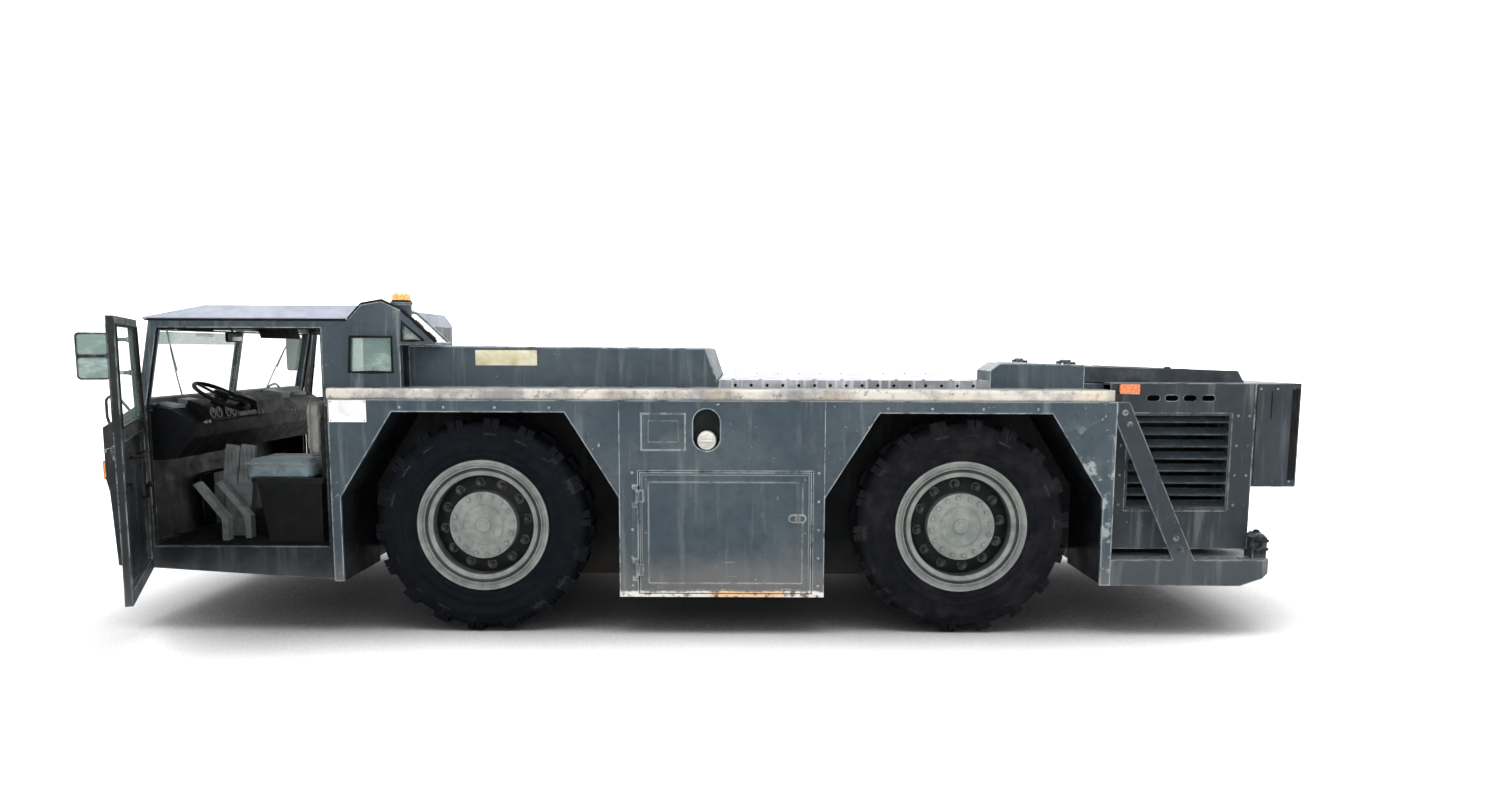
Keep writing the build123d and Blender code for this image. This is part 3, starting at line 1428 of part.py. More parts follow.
def make_knuckle(end, word, x, side, turn):
    """Kingpin block with its spindle and steering arm."""
    y = side * KINGPIN_Y
    eye = (x + turn * STEER_ROD_REACH, y)
    with BuildPart() as knuckle:
        with BuildSketch(Plane.XY.offset(WHEEL_Z - FORK_BOTTOM + 6)):
            with Locations((x, y)):
                Circle(FORK_RADIUS - 6)
        extrude(amount=2 * FORK_BOTTOM - 12)
        with BuildSketch(Plane.XY.offset(WHEEL_Z - FORK_TOP - 6)):
            with Locations((x, y)):
                Circle(KINGPIN_RADIUS)
        extrude(amount=2 * FORK_TOP + 6)
        with BuildSketch(Plane.XZ.offset(-y)):
            with Locations((x, WHEEL_Z)):
                Circle(SPINDLE_RADIUS)
        extrude(amount=-side * (SPINDLE_END - KINGPIN_Y))
        with BuildSketch(Plane.XY.offset(WHEEL_Z - FORK_TOP - 6 - ARM_THICK)):
            with Locations((x, y)):
                Circle(KINGPIN_RADIUS + 14)
            with Locations(eye):
                Circle(34)
            make_hull()
            with Locations(eye):
                Circle(ROD_PIN + PIN_CLEARANCE, mode=Mode.SUBTRACT)
        extrude(amount=ARM_THICK)
    save(knuckle, f"knuckle_{end}_{word}")


def make_tie_rod(end, x, turn):
    """Rod below the steering arms with an upright pin at each end."""
    half = KINGPIN_Y
    z = WHEEL_Z - FORK_TOP - 6 - ARM_THICK - 34
    rod_x = x + turn * STEER_ROD_REACH
    with BuildPart() as rod:
        with BuildSketch(Plane.XZ.offset(half)):
            with Locations((rod_x, z)):
                Circle(24)
        extrude(amount=-2 * half)
        for side in (-1, 1):
            with BuildSketch(Plane.XY.offset(z - 28)):
                with Locations((rod_x, side * half)):
                    Circle(32)
            extrude(amount=56)
            with BuildSketch(Plane.XY.offset(z)):
                with Locations((rod_x, side * half)):
                    Circle(ROD_PIN)
            extrude(amount=34 + ARM_THICK)
    save(rod, f"tie_rod_{end}")


def make_wheel(end, word, x, side):
    """Rim with its disc, hub face and bearing housing, turned as one profile."""
    with BuildPart() as wheel:
        with BuildSketch(Plane.XY.offset(WHEEL_Z)):
            outline(
                (x, side * SPINDLE_BORE_END),
                (x, side * HUB_FACE),
                (x + HUB_RADIUS, side * (HUB_FACE - 6)),
                (x + HUB_RADIUS, side * DISC_FACE),
                (x + RIM_INNER, side * (DISC_FACE - 16)),
                (x + RIM_INNER, side * (RIM_FACE - 14)),
                (x + RIM_STEP, side * RIM_FACE),
                (x + RIM_STEP + 5, side * (RIM_FACE - 10)),
                (x + RIM_OUTER, side * RIM_FACE),
                (x + RIM_OUTER, side * (RIM_FACE - RIM_FLANGE)),
                (x + BEAD_RADIUS, side * (RIM_FACE - RIM_FLANGE)),
                (x + BEAD_RADIUS, side * (RIM_BACK + RIM_FLANGE)),
                (x + RIM_OUTER, side * (RIM_BACK + RIM_FLANGE)),
                (x + RIM_OUTER, side * RIM_BACK),
                (x + RIM_STEP, side * RIM_BACK),
                (x + RIM_STEP, side * (DISC_FACE - 44)),
                (x + 130, side * (DISC_FACE - 44)),
                (x + 130, side * HUB_BACK),
                (x + SPINDLE_RADIUS + PIN_CLEARANCE, side * HUB_BACK),
                (x + SPINDLE_RADIUS + PIN_CLEARANCE, side * SPINDLE_BORE_END),
            )
        revolve(axis=Axis((x, 0, WHEEL_Z), (0, 1, 0)))
    save(wheel, f"wheel_{end}_{word}")


def tyre_form():
    """Tyre about its own middle: flat facets and two staggered rows of lugs."""
    half = (TYRE_OUTER - TYRE_INNER) / 2
    bead = RIM_FACE - RIM_FLANGE - (TYRE_INNER + TYRE_OUTER) / 2
    shoulder = half - SHOULDER
    facets = 2 * LUG_COUNT
    lug_half = LUG_FILL * WALL_RADIUS * tan(radians(180 / facets))
    profile = (
        (-bead, RIM_OUTER + BEAD_LIP),
        (-half, WALL_RADIUS),
        (-shoulder, TREAD_RADIUS),
        (shoulder, TREAD_RADIUS),
        (half, WALL_RADIUS),
        (bead, RIM_OUTER + BEAD_LIP),
    )
    with BuildPart(mode=Mode.PRIVATE) as tyre:
        for out, radius in profile:
            with BuildSketch(Plane.XZ.offset(-out)):
                RegularPolygon(radius, facets, major_radius=False)
        loft(ruled=True)
        for row, shift in ((-1, 0.5), (1, 1.5)):
            for index in range(LUG_COUNT):
                turn = radians((2 * index + shift) * 360 / facets)
                section = Plane(
                    origin=(0, 0, 0),
                    x_dir=(0, row, 0),
                    z_dir=(row * sin(turn), 0, -row * cos(turn)),
                )
                with BuildSketch(section):
                    outline(
                        (LUG_GAP, WALL_RADIUS),
                        (LUG_GAP, TYRE_RADIUS - LUG_CROWN),
                        (half - LUG_SLOPE, TYRE_RADIUS - LUG_CROWN),
                        (half - 2, WALL_RADIUS - 6),
                    )
                extrude(amount=lug_half, both=True)
        with BuildSketch(Plane.XZ.offset(-half)):
            Circle(BEAD_RADIUS)
        extrude(amount=2 * half, mode=Mode.SUBTRACT)
    return tyre.part


def make_tyre(form, end, word, x, side):
    """One tyre, the common form set on its wheel."""
    with BuildPart() as tyre:
        with Locations((x, side * (TYRE_INNER + TYRE_OUTER) / 2, WHEEL_Z)):
            add(form)
    save(tyre, f"tyre_{end}_{word}")


def main():
    os.makedirs("parts", exist_ok=True)
    make_main_frame()
    make_deck()
    make_lockers()
    make_fuel_cap()
    make_front_hood()
    make_walkway()
    make_rear_hood()
    make_cab_tub()
    make_cab_bows()
    make_cab_rear()
    make_roof()
    make_windscreen()
    make_cab_glass()
    make_dash()
    make_steering_wheel()
    make_seats()
    make_controls()
    make_lamps()
    make_rear_bay()
    make_louvres()
    make_engine()
    make_engine_cover()
    make_radiator_box()
    make_platform()
    make_coupling("rear_coupling", BAY_REAR, COUPLING_REAR_Z, 112)
    make_coupling("front_coupling", NOSE_X + COUPLING_POCKET, COUPLING_FRONT_Z, -112)
    for word, side in SIDES:
        make_side_body(word, side)
        make_locker_door(word, side)
        make_cab_side(word, side)
        make_cab_door(word, side)
    tyre = tyre_form()
    for end, x, turn in AXLES:
        make_axle(end, x)
        make_tie_rod(end, x, turn)
        for word, side in SIDES:
            make_knuckle(end, word, x, side, turn)
            make_wheel(end, word, x, side)
            make_tyre(tyre, end, word, x, side)


main()
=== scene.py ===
import math
import random

import bmesh
import bpy
from mathutils import Matrix, Vector


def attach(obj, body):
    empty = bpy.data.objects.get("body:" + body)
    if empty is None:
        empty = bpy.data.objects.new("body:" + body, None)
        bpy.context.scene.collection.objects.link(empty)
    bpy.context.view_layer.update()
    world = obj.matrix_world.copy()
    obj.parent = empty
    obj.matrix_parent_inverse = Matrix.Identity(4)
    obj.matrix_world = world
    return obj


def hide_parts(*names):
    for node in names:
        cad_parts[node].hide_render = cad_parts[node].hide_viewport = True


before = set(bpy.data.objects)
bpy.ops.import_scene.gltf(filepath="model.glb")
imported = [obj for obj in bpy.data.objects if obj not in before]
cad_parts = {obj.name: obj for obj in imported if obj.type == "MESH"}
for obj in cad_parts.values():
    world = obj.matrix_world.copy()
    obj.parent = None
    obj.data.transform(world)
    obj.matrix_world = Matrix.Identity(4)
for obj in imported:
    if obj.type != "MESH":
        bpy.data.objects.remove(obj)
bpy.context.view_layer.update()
random.seed(7)

FRONT_AXLE = -1.299
REAR_AXLE = 1.573
WHEEL_Z = 0.652
ARCH_SKIN = 1.200
SIDES = (("left", -1), ("right", 1))
AXLES = (("front", FRONT_AXLE), ("rear", REAR_AXLE))
X, Y, Z = Vector((1, 0, 0)), Vector((0, 1, 0)), Vector((0, 0, 1))


# Materials

def tone(red, green, blue):
    """A screen colour of 0 to 255 a channel as linear light."""
    linear = []
    for level in (red / 255, green / 255, blue / 255):
        linear.append(level / 12.92 if level <= 0.04045 else ((level + 0.055) / 1.055) ** 2.4)
    return (*linear, 1.0)


class Finish:
    """Wires one Principled material from noises, ramps and masks in object space.

    A colour of three numbers is a screen colour, and one of four is linear light.
    """

    def __init__(self, name):
        self.material = bpy.data.materials.new(name)
        self.material.use_nodes = True
        self.tree = self.material.node_tree
        self.tree.nodes.clear()
        self.shader = self.node("BsdfPrincipled")
        self.node("OutputMaterial", Surface=self.shader.outputs[0])
        self.place = self.node("TexCoord").outputs["Object"]
        self.colour = None

    def feed(self, socket, source):
        if isinstance(source, bpy.types.NodeSocket):
            self.tree.links.new(source, socket)
        elif socket.type == "RGBA" and len(source) == 3:
            socket.default_value = tone(*source)
        else:
            socket.default_value = source

    def fill(self, node, inputs):
        for name, source in inputs.items():
            self.feed(node.inputs[name.replace("_", " ")], source)
        return node

    def node(self, kind, **inputs):
        return self.fill(self.tree.nodes.new("ShaderNode" + kind), inputs)

    def axis(self, letter):
        return self.node("SeparateXYZ", Vector=self.place).outputs[letter]

    def stretched(self, x, y, z):
        return self.node("Mapping", Vector=self.place, Scale=(x, y, z)).outputs[0]

    def noise(self, scale, detail=4.0, rough=0.6, vector=None):
        vector = vector or self.place
        return self.node("TexNoise", Vector=vector, Scale=scale, Detail=detail, Roughness=rough).outputs["Fac"]

    def cells(self, scale, vector=None):
        return self.node("TexVoronoi", Vector=vector or self.place, Scale=scale).outputs["Distance"]

    def math(self, kind, first, second=0.0, clamp=False):
        node = self.node("Math")
        node.operation = kind
        node.use_clamp = clamp
        self.feed(node.inputs[0], first)
        self.feed(node.inputs[1], second)
        return node.outputs[0]

    def times(self, first, second, clamp=False):
        return self.math("MULTIPLY", first, second, clamp)

    def distance(self, first, second):
        """Length of a pair of coordinates."""
        return self.math("SQRT", self.math("ADD", self.times(first, first), self.times(second, second)))

    def band(self, source, low, high, start=0.0, end=1.0):
        """Source from low to high becomes start to end, clamped."""
        node = self.node("MapRange", Value=source, From_Min=low, From_Max=high, To_Min=start, To_Max=end)
        node.clamp = True
        node.interpolation_type = "SMOOTHSTEP"
        return node.outputs["Result"]

    def window(self, source, rise, full, fade, end):
        """Mask that is full from full to fade and gone before rise and after end."""
        return self.times(self.band(source, rise, full), self.band(source, end, fade))

    def spots(self, scale, detail, rough, low, high, vector=None):
        """Mask of the places where a noise rises from low to high."""
        return self.band(self.noise(scale, detail, rough, vector), low, high)

    def sheen(self, scale, low, high):
        """Roughness that wanders from low to high."""
        return self.band(self.noise(scale, 5.0, 0.7), 0.3, 0.7, low, high)

    def mix(self, factor, first, second):
        node = self.node("Mix")
        node.data_type = "RGBA"
        for index, source in ((0, factor), (6, first), (7, second)):
            self.feed(node.inputs[index], source)
        return node.outputs[2]

    def coat(self, mask, amount, tint):
        """Lays a tint over the colour so far, as strong as mask times amount."""
        self.colour = self.mix(self.times(mask, amount), self.colour, tint)

    def edges(self, width, low=0.02, high=0.22):
        """Mask of the corners that stand out or in within width metres."""
        bevel = self.node("Bevel", Radius=width)
        bevel.samples = 4
        dot = self.node("VectorMath")
        dot.operation = "DOT_PRODUCT"
        self.feed(dot.inputs[0], bevel.outputs[0])
        self.feed(dot.inputs[1], self.node("NewGeometry").outputs["Normal"])
        return self.band(self.math("SUBTRACT", 1.0, dot.outputs["Value"]), low, high)

    def upward(self, low=0.5, high=0.95):
        """Mask of the faces that look up."""
        normal = self.node("NewGeometry").outputs["Normal"]
        return self.band(self.node("SeparateXYZ", Vector=normal).outputs["Z"], low, high)

    def crevices(self, distance):
        """Mask of the places that are shut in within distance metres."""
        node = self.node("AmbientOcclusion", Distance=distance)
        node.samples = 4
        return self.math("SUBTRACT", 1.0, node.outputs["AO"])

    def done(self, *bumps, **values):
        """Sets the shader and stacks bumps of (height, strength, distance)."""
        last = None
        for height, strength, distance in bumps:
            node = self.node("Bump", Strength=strength, Distance=distance, Height=height)
            if last:
                self.feed(node.inputs["Normal"], last)
            last = node.outputs[0]
        self.fill(self.shader, {"Base Color": self.colour, **values})
        if last:
            self.feed(self.shader.inputs["Normal"], last)
        return self.material


def worn_paint(name, main, second, chip, dirt, wear=1.0, rough=0.5, top=None, low_dust=None, streaks=0.5):
    """Old sprayed paint: mottled, streaked, chipped on its edges and dusty low down."""
    f = Finish(name)
    f.colour = f.mix(f.spots(1.7, 5.0, 0.62, 0.36, 0.66), main, second)
    f.coat(f.spots(14.0, 6.0, 0.7, 0.40, 0.72), 0.35, dirt)
    runs = f.spots(1.0, 5.0, 0.65, 0.52, 0.72, f.stretched(11.0, 11.0, 0.9))
    f.coat(f.times(runs, streaks), 0.55, chip)
    # A top colour, where given, is a painted sky reflection on the faces that look up.
    if top:
        f.coat(f.upward(), 0.75, top)
    if low_dust:
        level, tint = low_dust
        ragged = f.math("ADD", f.axis("Z"), f.times(f.noise(5.0, 5.0, 0.7), -0.30))
        f.coat(f.band(ragged, level, level - 0.22), 0.55, tint)
    patch = f.spots(2.6, 4.0, 0.65, 0.50, 0.66)
    scuffs = f.times(f.spots(42.0, 4.0, 0.6, 0.685, 0.73), patch)
    streak = f.times(f.spots(1.0, 6.0, 0.75, 0.66, 0.72, f.stretched(3.0, 3.0, 38.0)), patch)
    edge = f.times(f.edges(0.014), f.spots(9.0, 6.0, 0.75, 0.40, 0.58))
    bare = f.math("MAXIMUM", f.math("MAXIMUM", scuffs, f.times(streak, 0.7)), edge)
    bare = f.times(bare, wear, clamp=True)
    f.coat(bare, 1.0, chip)
    sheen = f.sheen(6.0, rough - 0.10, rough + 0.16)
    return f.done((f.noise(2.3, 2.0, 0.5), 0.25, 0.02), (f.noise(90.0, 3.0, 0.5), 0.10, 0.002),
                  (f.math("SUBTRACT", 1.0, bare), 0.3, 0.0008), Specular_IOR_Level=0.18,
                  Roughness=f.math("ADD", sheen, f.times(bare, 0.15), clamp=True))


def body_paint(name, shade_inside):
    """The body's dark blue-grey, with a rubbed and rusty lower edge on the middle panels."""
    f = Finish(name)
    f.colour = f.mix(f.spots(1.5, 5.0, 0.62, 0.36, 0.66), (43, 54, 61), (56, 65, 71))
    f.coat(f.spots(15.0, 6.0, 0.72, 0.42, 0.72), 0.4, (31, 39, 44))
    f.coat(f.spots(1.0, 5.0, 0.65, 0.53, 0.74, f.stretched(12.0, 12.0, 0.9)), 0.22, (132, 138, 138))
    f.coat(f.spots(3.2, 6.0, 0.7, 0.55, 0.75), 0.30, (98, 88, 80))
    # Painted sky reflection: lighter on the faces that look up.
    f.coat(f.upward(), 0.55, (138, 144, 152))
    ragged = f.math("SUBTRACT", f.noise(7.0, 6.0, 0.72), 0.5)
    f.coat(f.band(f.math("ADD", f.axis("Z"), f.times(ragged, 0.22)), 0.55, 0.30), 0.35, (118, 112, 104))
    scrape = f.band(f.math("ADD", f.axis("Z"), f.times(ragged, 0.085)), 0.277, 0.257)
    scrape = f.times(scrape, f.window(f.axis("X"), -0.62, -0.44, 0.72, 0.90))
    rubbed = f.mix(f.window(f.axis("X"), 0.02, 0.10, 0.47, 0.55), (190, 190, 184), (196, 166, 132))
    rubbed = f.mix(f.spots(26.0, 5.0, 0.7, 0.50, 0.62), rubbed, (92, 74, 60))
    patch = f.spots(2.2, 4.0, 0.65, 0.50, 0.64)
    rear = f.times(f.band(f.axis("X"), 2.05, 2.32), f.band(f.axis("Z"), 1.34, 1.10))
    rear = f.times(rear, f.spots(6.5, 5.0, 0.7, 0.52, 0.60))
    level = f.spots(1.0, 6.0, 0.75, 0.66, 0.72, f.stretched(3.0, 3.0, 38.0))
    upright = f.spots(1.0, 6.0, 0.72, 0.67, 0.72, f.stretched(26.0, 26.0, 2.4))
    edge = f.times(f.edges(0.016), f.spots(8.0, 6.0, 0.75, 0.36, 0.54))
    bare = f.times(f.spots(38.0, 4.0, 0.6, 0.675, 0.72), patch)
    streaks = (f.times(level, f.times(patch, 0.6)), f.times(upright, f.times(patch, 0.7)))
    for mask in (*streaks, edge, f.times(rear, 0.5)):
        bare = f.math("MAXIMUM", bare, mask)
    f.coat(bare, 0.8, (168, 176, 178))
    f.coat(scrape, 1.0, rubbed)
    # Painted shade: the side bodies' inner faces, in the wheel arches, are near black.
    if shade_inside:
        inner = f.band(f.math("ABSOLUTE", f.axis("Y")), ARCH_SKIN + 0.006, ARCH_SKIN - 0.006)
        f.coat(inner, 1.0, f.mix(f.spots(6.0, 5.0, 0.7, 0.4, 0.7), (9, 11, 14), (24, 26, 28)))
    return f.done((f.noise(2.1, 2.0, 0.5), 0.30, 0.02), (f.noise(90.0, 3.0, 0.5), 0.10, 0.002),
                  (f.math("SUBTRACT", 1.0, f.math("MAXIMUM", bare, scrape)), 0.3, 0.001),
                  Roughness=f.sheen(5.0, 0.42, 0.66), Specular_IOR_Level=0.18)


def rail_paint():
    """The deck's edge rail, rubbed almost bare, with a painted shadow line low down and a painted sky reflection
    on its top.
    """
    f = Finish("worn_rail")
    f.colour = f.mix(f.spots(3.0, 6.0, 0.7, 0.36, 0.60), (108, 107, 105), (168, 163, 155))
    f.coat(f.spots(22.0, 6.0, 0.7, 0.52, 0.68), 1.0, (92, 90, 88))
    f.coat(f.spots(4.4, 4.0, 0.6, 0.50, 0.66), 0.5, (172, 154, 124))
    ragged = f.math("ADD", f.axis("Z"), f.times(f.noise(9.0, 5.0, 0.7), 0.03))
    # Painted shadow line: darker below about 1.42 m.
    f.coat(f.band(ragged, 1.437, 1.415), 0.8, (66, 68, 68))
    # Painted sky reflection on the faces that look up.
    f.coat(f.upward(0.90, 0.99), 0.65, (96, 101, 106))
    return f.done((f.noise(60.0, 4.0, 0.6), 0.25, 0.003), Roughness=f.sheen(8.0, 0.45, 0.75))


def tread_plate():
    """Raised lozenges in two directions on a worn plate."""
    f = Finish("tread_plate")
    waves = []
    for turn in (math.pi / 4, -math.pi / 4):
        slanted = f.node("Mapping", Vector=f.place, Rotation=(0, 0, turn), Scale=(26.0, 80.0, 1.0))
        waves.append(f.band(f.cells(1.0, slanted.outputs[0]), 0.34, 0.22))
    raised = f.math("MAXIMUM", *waves)
    f.colour = f.mix(f.spots(2.5, 6.0, 0.7, 0.35, 0.65), (96, 100, 104), (146, 148, 152))
    f.coat(raised, 0.5, (182, 184, 186))
    f.coat(f.spots(7.0, 5.0, 0.7, 0.52, 0.66), 0.6, (104, 92, 80))
    return f.done((raised, 0.6, 0.004), (f.noise(70.0), 0.15, 0.002),
                  Metallic=0.35, Roughness=f.band(f.noise(9.0), 0.3, 0.7, 0.40, 0.62))


def rubber(name, main, dusty, amount):
    """Tyre rubber: dull, dusty on its sidewall and between the lugs."""
    f = Finish(name)
    f.colour = f.mix(f.spots(3.5, 5.0, 0.65, 0.35, 0.68), main, (5, 7, 12))
    f.coat(f.spots(6.5, 6.0, 0.72, 0.42, 0.70), amount, dusty)
    f.coat(f.times(f.edges(0.008, 0.03, 0.30), f.spots(5.0, 4.0, 0.6, 0.42, 0.62)), 0.30, (70, 72, 74))
    return f.done((f.noise(24.0, 5.0, 0.6), 0.20, 0.004), (f.noise(160.0, 3.0, 0.5), 0.15, 0.001),
                  Roughness=f.sheen(11.0, 0.66, 0.88), Specular_IOR_Level=0.08)


def rim_finish(name, axle_x):
    """Pale rim and hub, with painted shade near black in the dished part between them and in the lock ring's
    groove.
    """
    f = Finish(name)
    f.colour = f.mix(f.spots(7.0, 6.0, 0.7, 0.35, 0.65), (92, 97, 95), (116, 120, 116))
    f.coat(f.spots(24.0, 5.0, 0.7, 0.50, 0.68), 0.6, (96, 98, 92))
    # Patchy dark brown where the surface is shut in within 5 cm.
    crevice_darkening = f.times(f.crevices(0.05), f.spots(12.0, 5.0, 0.7, 0.25, 0.60))
    f.coat(f.times(crevice_darkening, 0.9, clamp=True), 1.0, (46, 44, 40))
    out = f.distance(f.math("SUBTRACT", f.axis("X"), axle_x), f.math("SUBTRACT", f.axis("Z"), WHEEL_Z))
    dish = f.window(out, 0.199, 0.206, 0.298, 0.306)
    groove = f.window(out, 0.326, 0.332, 0.344, 0.350)
    # Painted shade: the dished ring between rim and hub and the lock ring's groove are near black.
    black = f.mix(f.spots(16.0, 5.0, 0.7, 0.45, 0.70), (5, 7, 10), (16, 20, 23))
    f.coat(f.math("MAXIMUM", dish, f.times(groove, 0.85)), 1.0, black)
    return f.done((f.noise(70.0, 4.0, 0.6), 0.18, 0.002),
                  Roughness=f.sheen(9.0, 0.42, 0.66), Specular_IOR_Level=0.12)


def glass(name, tint, alpha, rough=0.03):
    """Smeared glass, clear, tinted or silvered."""
    f = Finish(name)
    f.colour = tint
    f.coat(f.spots(3.0, 5.0, 0.7, 0.45, 0.75, f.stretched(1.0, 1.0, 2.5)), 0.4, (206, 214, 210))
    return f.done((f.noise(1.6, 2.0, 0.4), 0.04, 0.01), Alpha=alpha, Roughness=rough)


def lens(name, colour, glow, cell):
    """Moulded plastic lens with a small prism pattern."""
    f = Finish(name)
    prisms = f.cells(cell)
    bright = tone(*colour)
    deep = (bright[0] * 0.45, bright[1] * 0.40, bright[2] * 0.40, 1.0)
    f.colour = f.mix(f.band(prisms, 0.15, 0.65), bright, deep)
    f.coat(f.spots(14.0, 4.0, 0.6, 0.45, 0.7), 0.25, (120, 96, 70))
    return f.done((prisms, 0.35, 0.003), Roughness=0.16, Coat_Weight=0.4, Coat_Roughness=0.08,
                  Emission_Color=bright, Emission_Strength=glow)


def plastic(name, main, second, rough=0.55, grain=260.0):
    """Moulded plastic or rubber, rubbed lighter on its edges."""
    f = Finish(name)
    f.colour = f.mix(f.spots(9.0, 5.0, 0.65, 0.38, 0.68), main, second)
    lighter = (*(min(1.0, level * 2.2 + 0.02) for level in tone(*second)[:3]), 1.0)
    f.coat(f.times(f.edges(0.006), f.spots(14.0, 5.0, 0.7, 0.42, 0.60)), 0.6, lighter)
    return f.done((f.noise(grain, 2.0, 0.5), 0.20, 0.001),
                  Roughness=f.sheen(12.0, rough - 0.08, rough + 0.12), Specular_IOR_Level=0.10)


def bare_metal(name, main, second, rough=0.4):
    """Bare steel with freckles of rust."""
    f = Finish(name)
    f.colour = f.mix(f.spots(10.0, 6.0, 0.7, 0.38, 0.66), main, second)
    f.coat(f.spots(19.0, 6.0, 0.72, 0.56, 0.68), 0.6, (96, 62, 42))
    return f.done((f.noise(120.0, 3.0, 0.6), 0.2, 0.001),
                  Metallic=0.75, Roughness=f.sheen(22.0, rough - 0.08, rough + 0.2))


def vinyl(name, main, second):
    """Grained seat vinyl with a soft sheen and rubbed high spots."""
    f = Finish(name)
    f.colour = f.mix(f.spots(5.0, 5.0, 0.65, 0.36, 0.66), main, second)
    f.coat(f.spots(18.0, 5.0, 0.7, 0.52, 0.70), 0.35, (70, 74, 72))
    return f.done((f.cells(420.0), 0.25, 0.0008), (f.noise(26.0, 4.0, 0.6), 0.10, 0.002),
                  Roughness=f.band(f.noise(8.0), 0.3, 0.7, 0.42, 0.60), Sheen_Weight=0.15, Sheen_Roughness=0.5)


COOL_DUST = (60, 64, 67)
STEEL = bare_metal("bare_steel", (120, 122, 122), (84, 86, 86))
DARK_STEEL = bare_metal("dark_steel", (60, 62, 64), (38, 40, 42), 0.5)
BODY = body_paint("body_paint", False)
SIDE_PAINT = body_paint("side_paint", True)
# The cab's top colour is a painted sky reflection on its upward faces.
CAB = worn_paint("cab_paint", (40, 50, 56), (54, 62, 68), (176, 180, 178), (29, 36, 40), 0.7, 0.48,
                 top=(120, 128, 138), low_dust=(0.42, COOL_DUST), streaks=0.35)
# The open doors' near-black is painted shade; their dust and chips are real.
SHADED_DOOR = worn_paint("door_paint", (8, 11, 13), (15, 19, 22), (140, 146, 146), (20, 25, 28), 0.8, 0.48,
                  low_dust=(0.48, COOL_DUST), streaks=0.3)
# The tail's top colour is a painted sky reflection on its upward faces.
TAIL = worn_paint("tail_paint", (27, 34, 38), (38, 44, 50), (154, 158, 156), (40, 48, 50), 0.75, 0.5,
                  top=(120, 124, 130), low_dust=(0.50, COOL_DUST), streaks=0.35)
# The cab tub's near-black, on the sills, is painted shade; its dust and chips are real.
SHADED_TUB = worn_paint("tub_paint_shaded", (7, 9, 12), (14, 18, 22), (120, 124, 122), (14, 17, 19), 0.7, 0.5,
                 low_dust=(0.36, COOL_DUST), streaks=0.2)
# The near-black of the lockers, seat bases and door linings is painted shade; their dust and scuffs are real.
SHADED_INSIDE = worn_paint("inside_paint_shaded", (5, 6, 8), (10, 12, 15), (70, 73, 74), (7, 8, 9), 0.4, 0.6,
                    low_dust=(0.55, (40, 40, 40)), streaks=0.15)
# The roof's pale lavender is a painted sky reflection; its dirt, streaks and chips are real.
ROOF = worn_paint("roof_paint", (120, 126, 138), (138, 143, 153), (176, 178, 184), (98, 103, 114), 0.5, 0.5,
                  streaks=0.3)
UNDER = worn_paint("under_paint", (14, 17, 20), (24, 27, 30), (76, 76, 74), (34, 30, 27), 0.35, 0.68,
                   low_dust=(0.36, (60, 56, 52)), streaks=0.3)
LOUVRE = worn_paint("louvre_paint", (26, 33, 38), (42, 49, 54), (104, 108, 108), (30, 32, 33), 0.6, 0.6,
                    streaks=0.3)
RAIL = rail_paint()
TREAD = tread_plate()
CLEAR = glass("window_glass", (196, 226, 214), 0.16)
TINTED = glass("tinted_glass", (88, 112, 106), 0.66, 0.12)
SILVER = glass("mirror_glass", (88, 108, 102), 1.0, 0.08)
TINT_BAND = glass("tinted_band", (96, 150, 136), 0.55, 0.08)
AMBER = lens("amber_lens", (236, 124, 48), 0.05, 90.0)
LAMP = lens("clear_lens", (206, 210, 212), 0.0, 60.0)
BEACON = lens("beacon_lens", (250, 166, 70), 0.30, 70.0)
BLACK = plastic("black_plastic", (4, 5, 7), (11, 12, 14))
SOFT_BLACK = plastic("seal_rubber", (8, 9, 10), (18, 19, 21), 0.75, 120.0)
GREY = plastic("grey_plastic", (112, 116, 116), (86, 90, 90), 0.5)
TAN = plastic("tan_plastic", (150, 112, 84), (120, 88, 66), 0.5)
COVER = plastic("cover_plastic", (40, 44, 48), (58, 62, 66), 0.55, 120.0)
WHITE = plastic("white_plastic", (206, 206, 200), (168, 166, 158), 0.45)
CREAM = worn_paint("cream_patch", (172, 164, 134), (150, 143, 114), (186, 182, 164), (92, 88, 74), 0.8, 0.55,
                   streaks=0.4)
PLATE = worn_paint("blank_plate", (206, 204, 204), (188, 186, 186), (224, 222, 220), (140, 132, 128), 0.8, 0.5,
                   streaks=0.6)
SEAT = vinyl("seat_vinyl", (104, 122, 128), (86, 102, 106))
PAD = vinyl("seat_back_vinyl", (124, 124, 120), (98, 98, 95))
TYRE_FINISH = {
    "front": rubber("tyre_front_rubber", (3, 5, 10), (16, 20, 27), 0.15),
    "rear": rubber("tyre_rear_rubber", (7, 8, 13), (40, 37, 37), 0.34),
}
RIM_FINISH = {end: rim_finish(f"rim_{end}", x) for end, x in AXLES}


# Mesh helpers

def around(angle):
    """Unit vector at an angle about Y, from X toward Z."""
    return Vector((math.cos(angle), 0, math.sin(angle)))


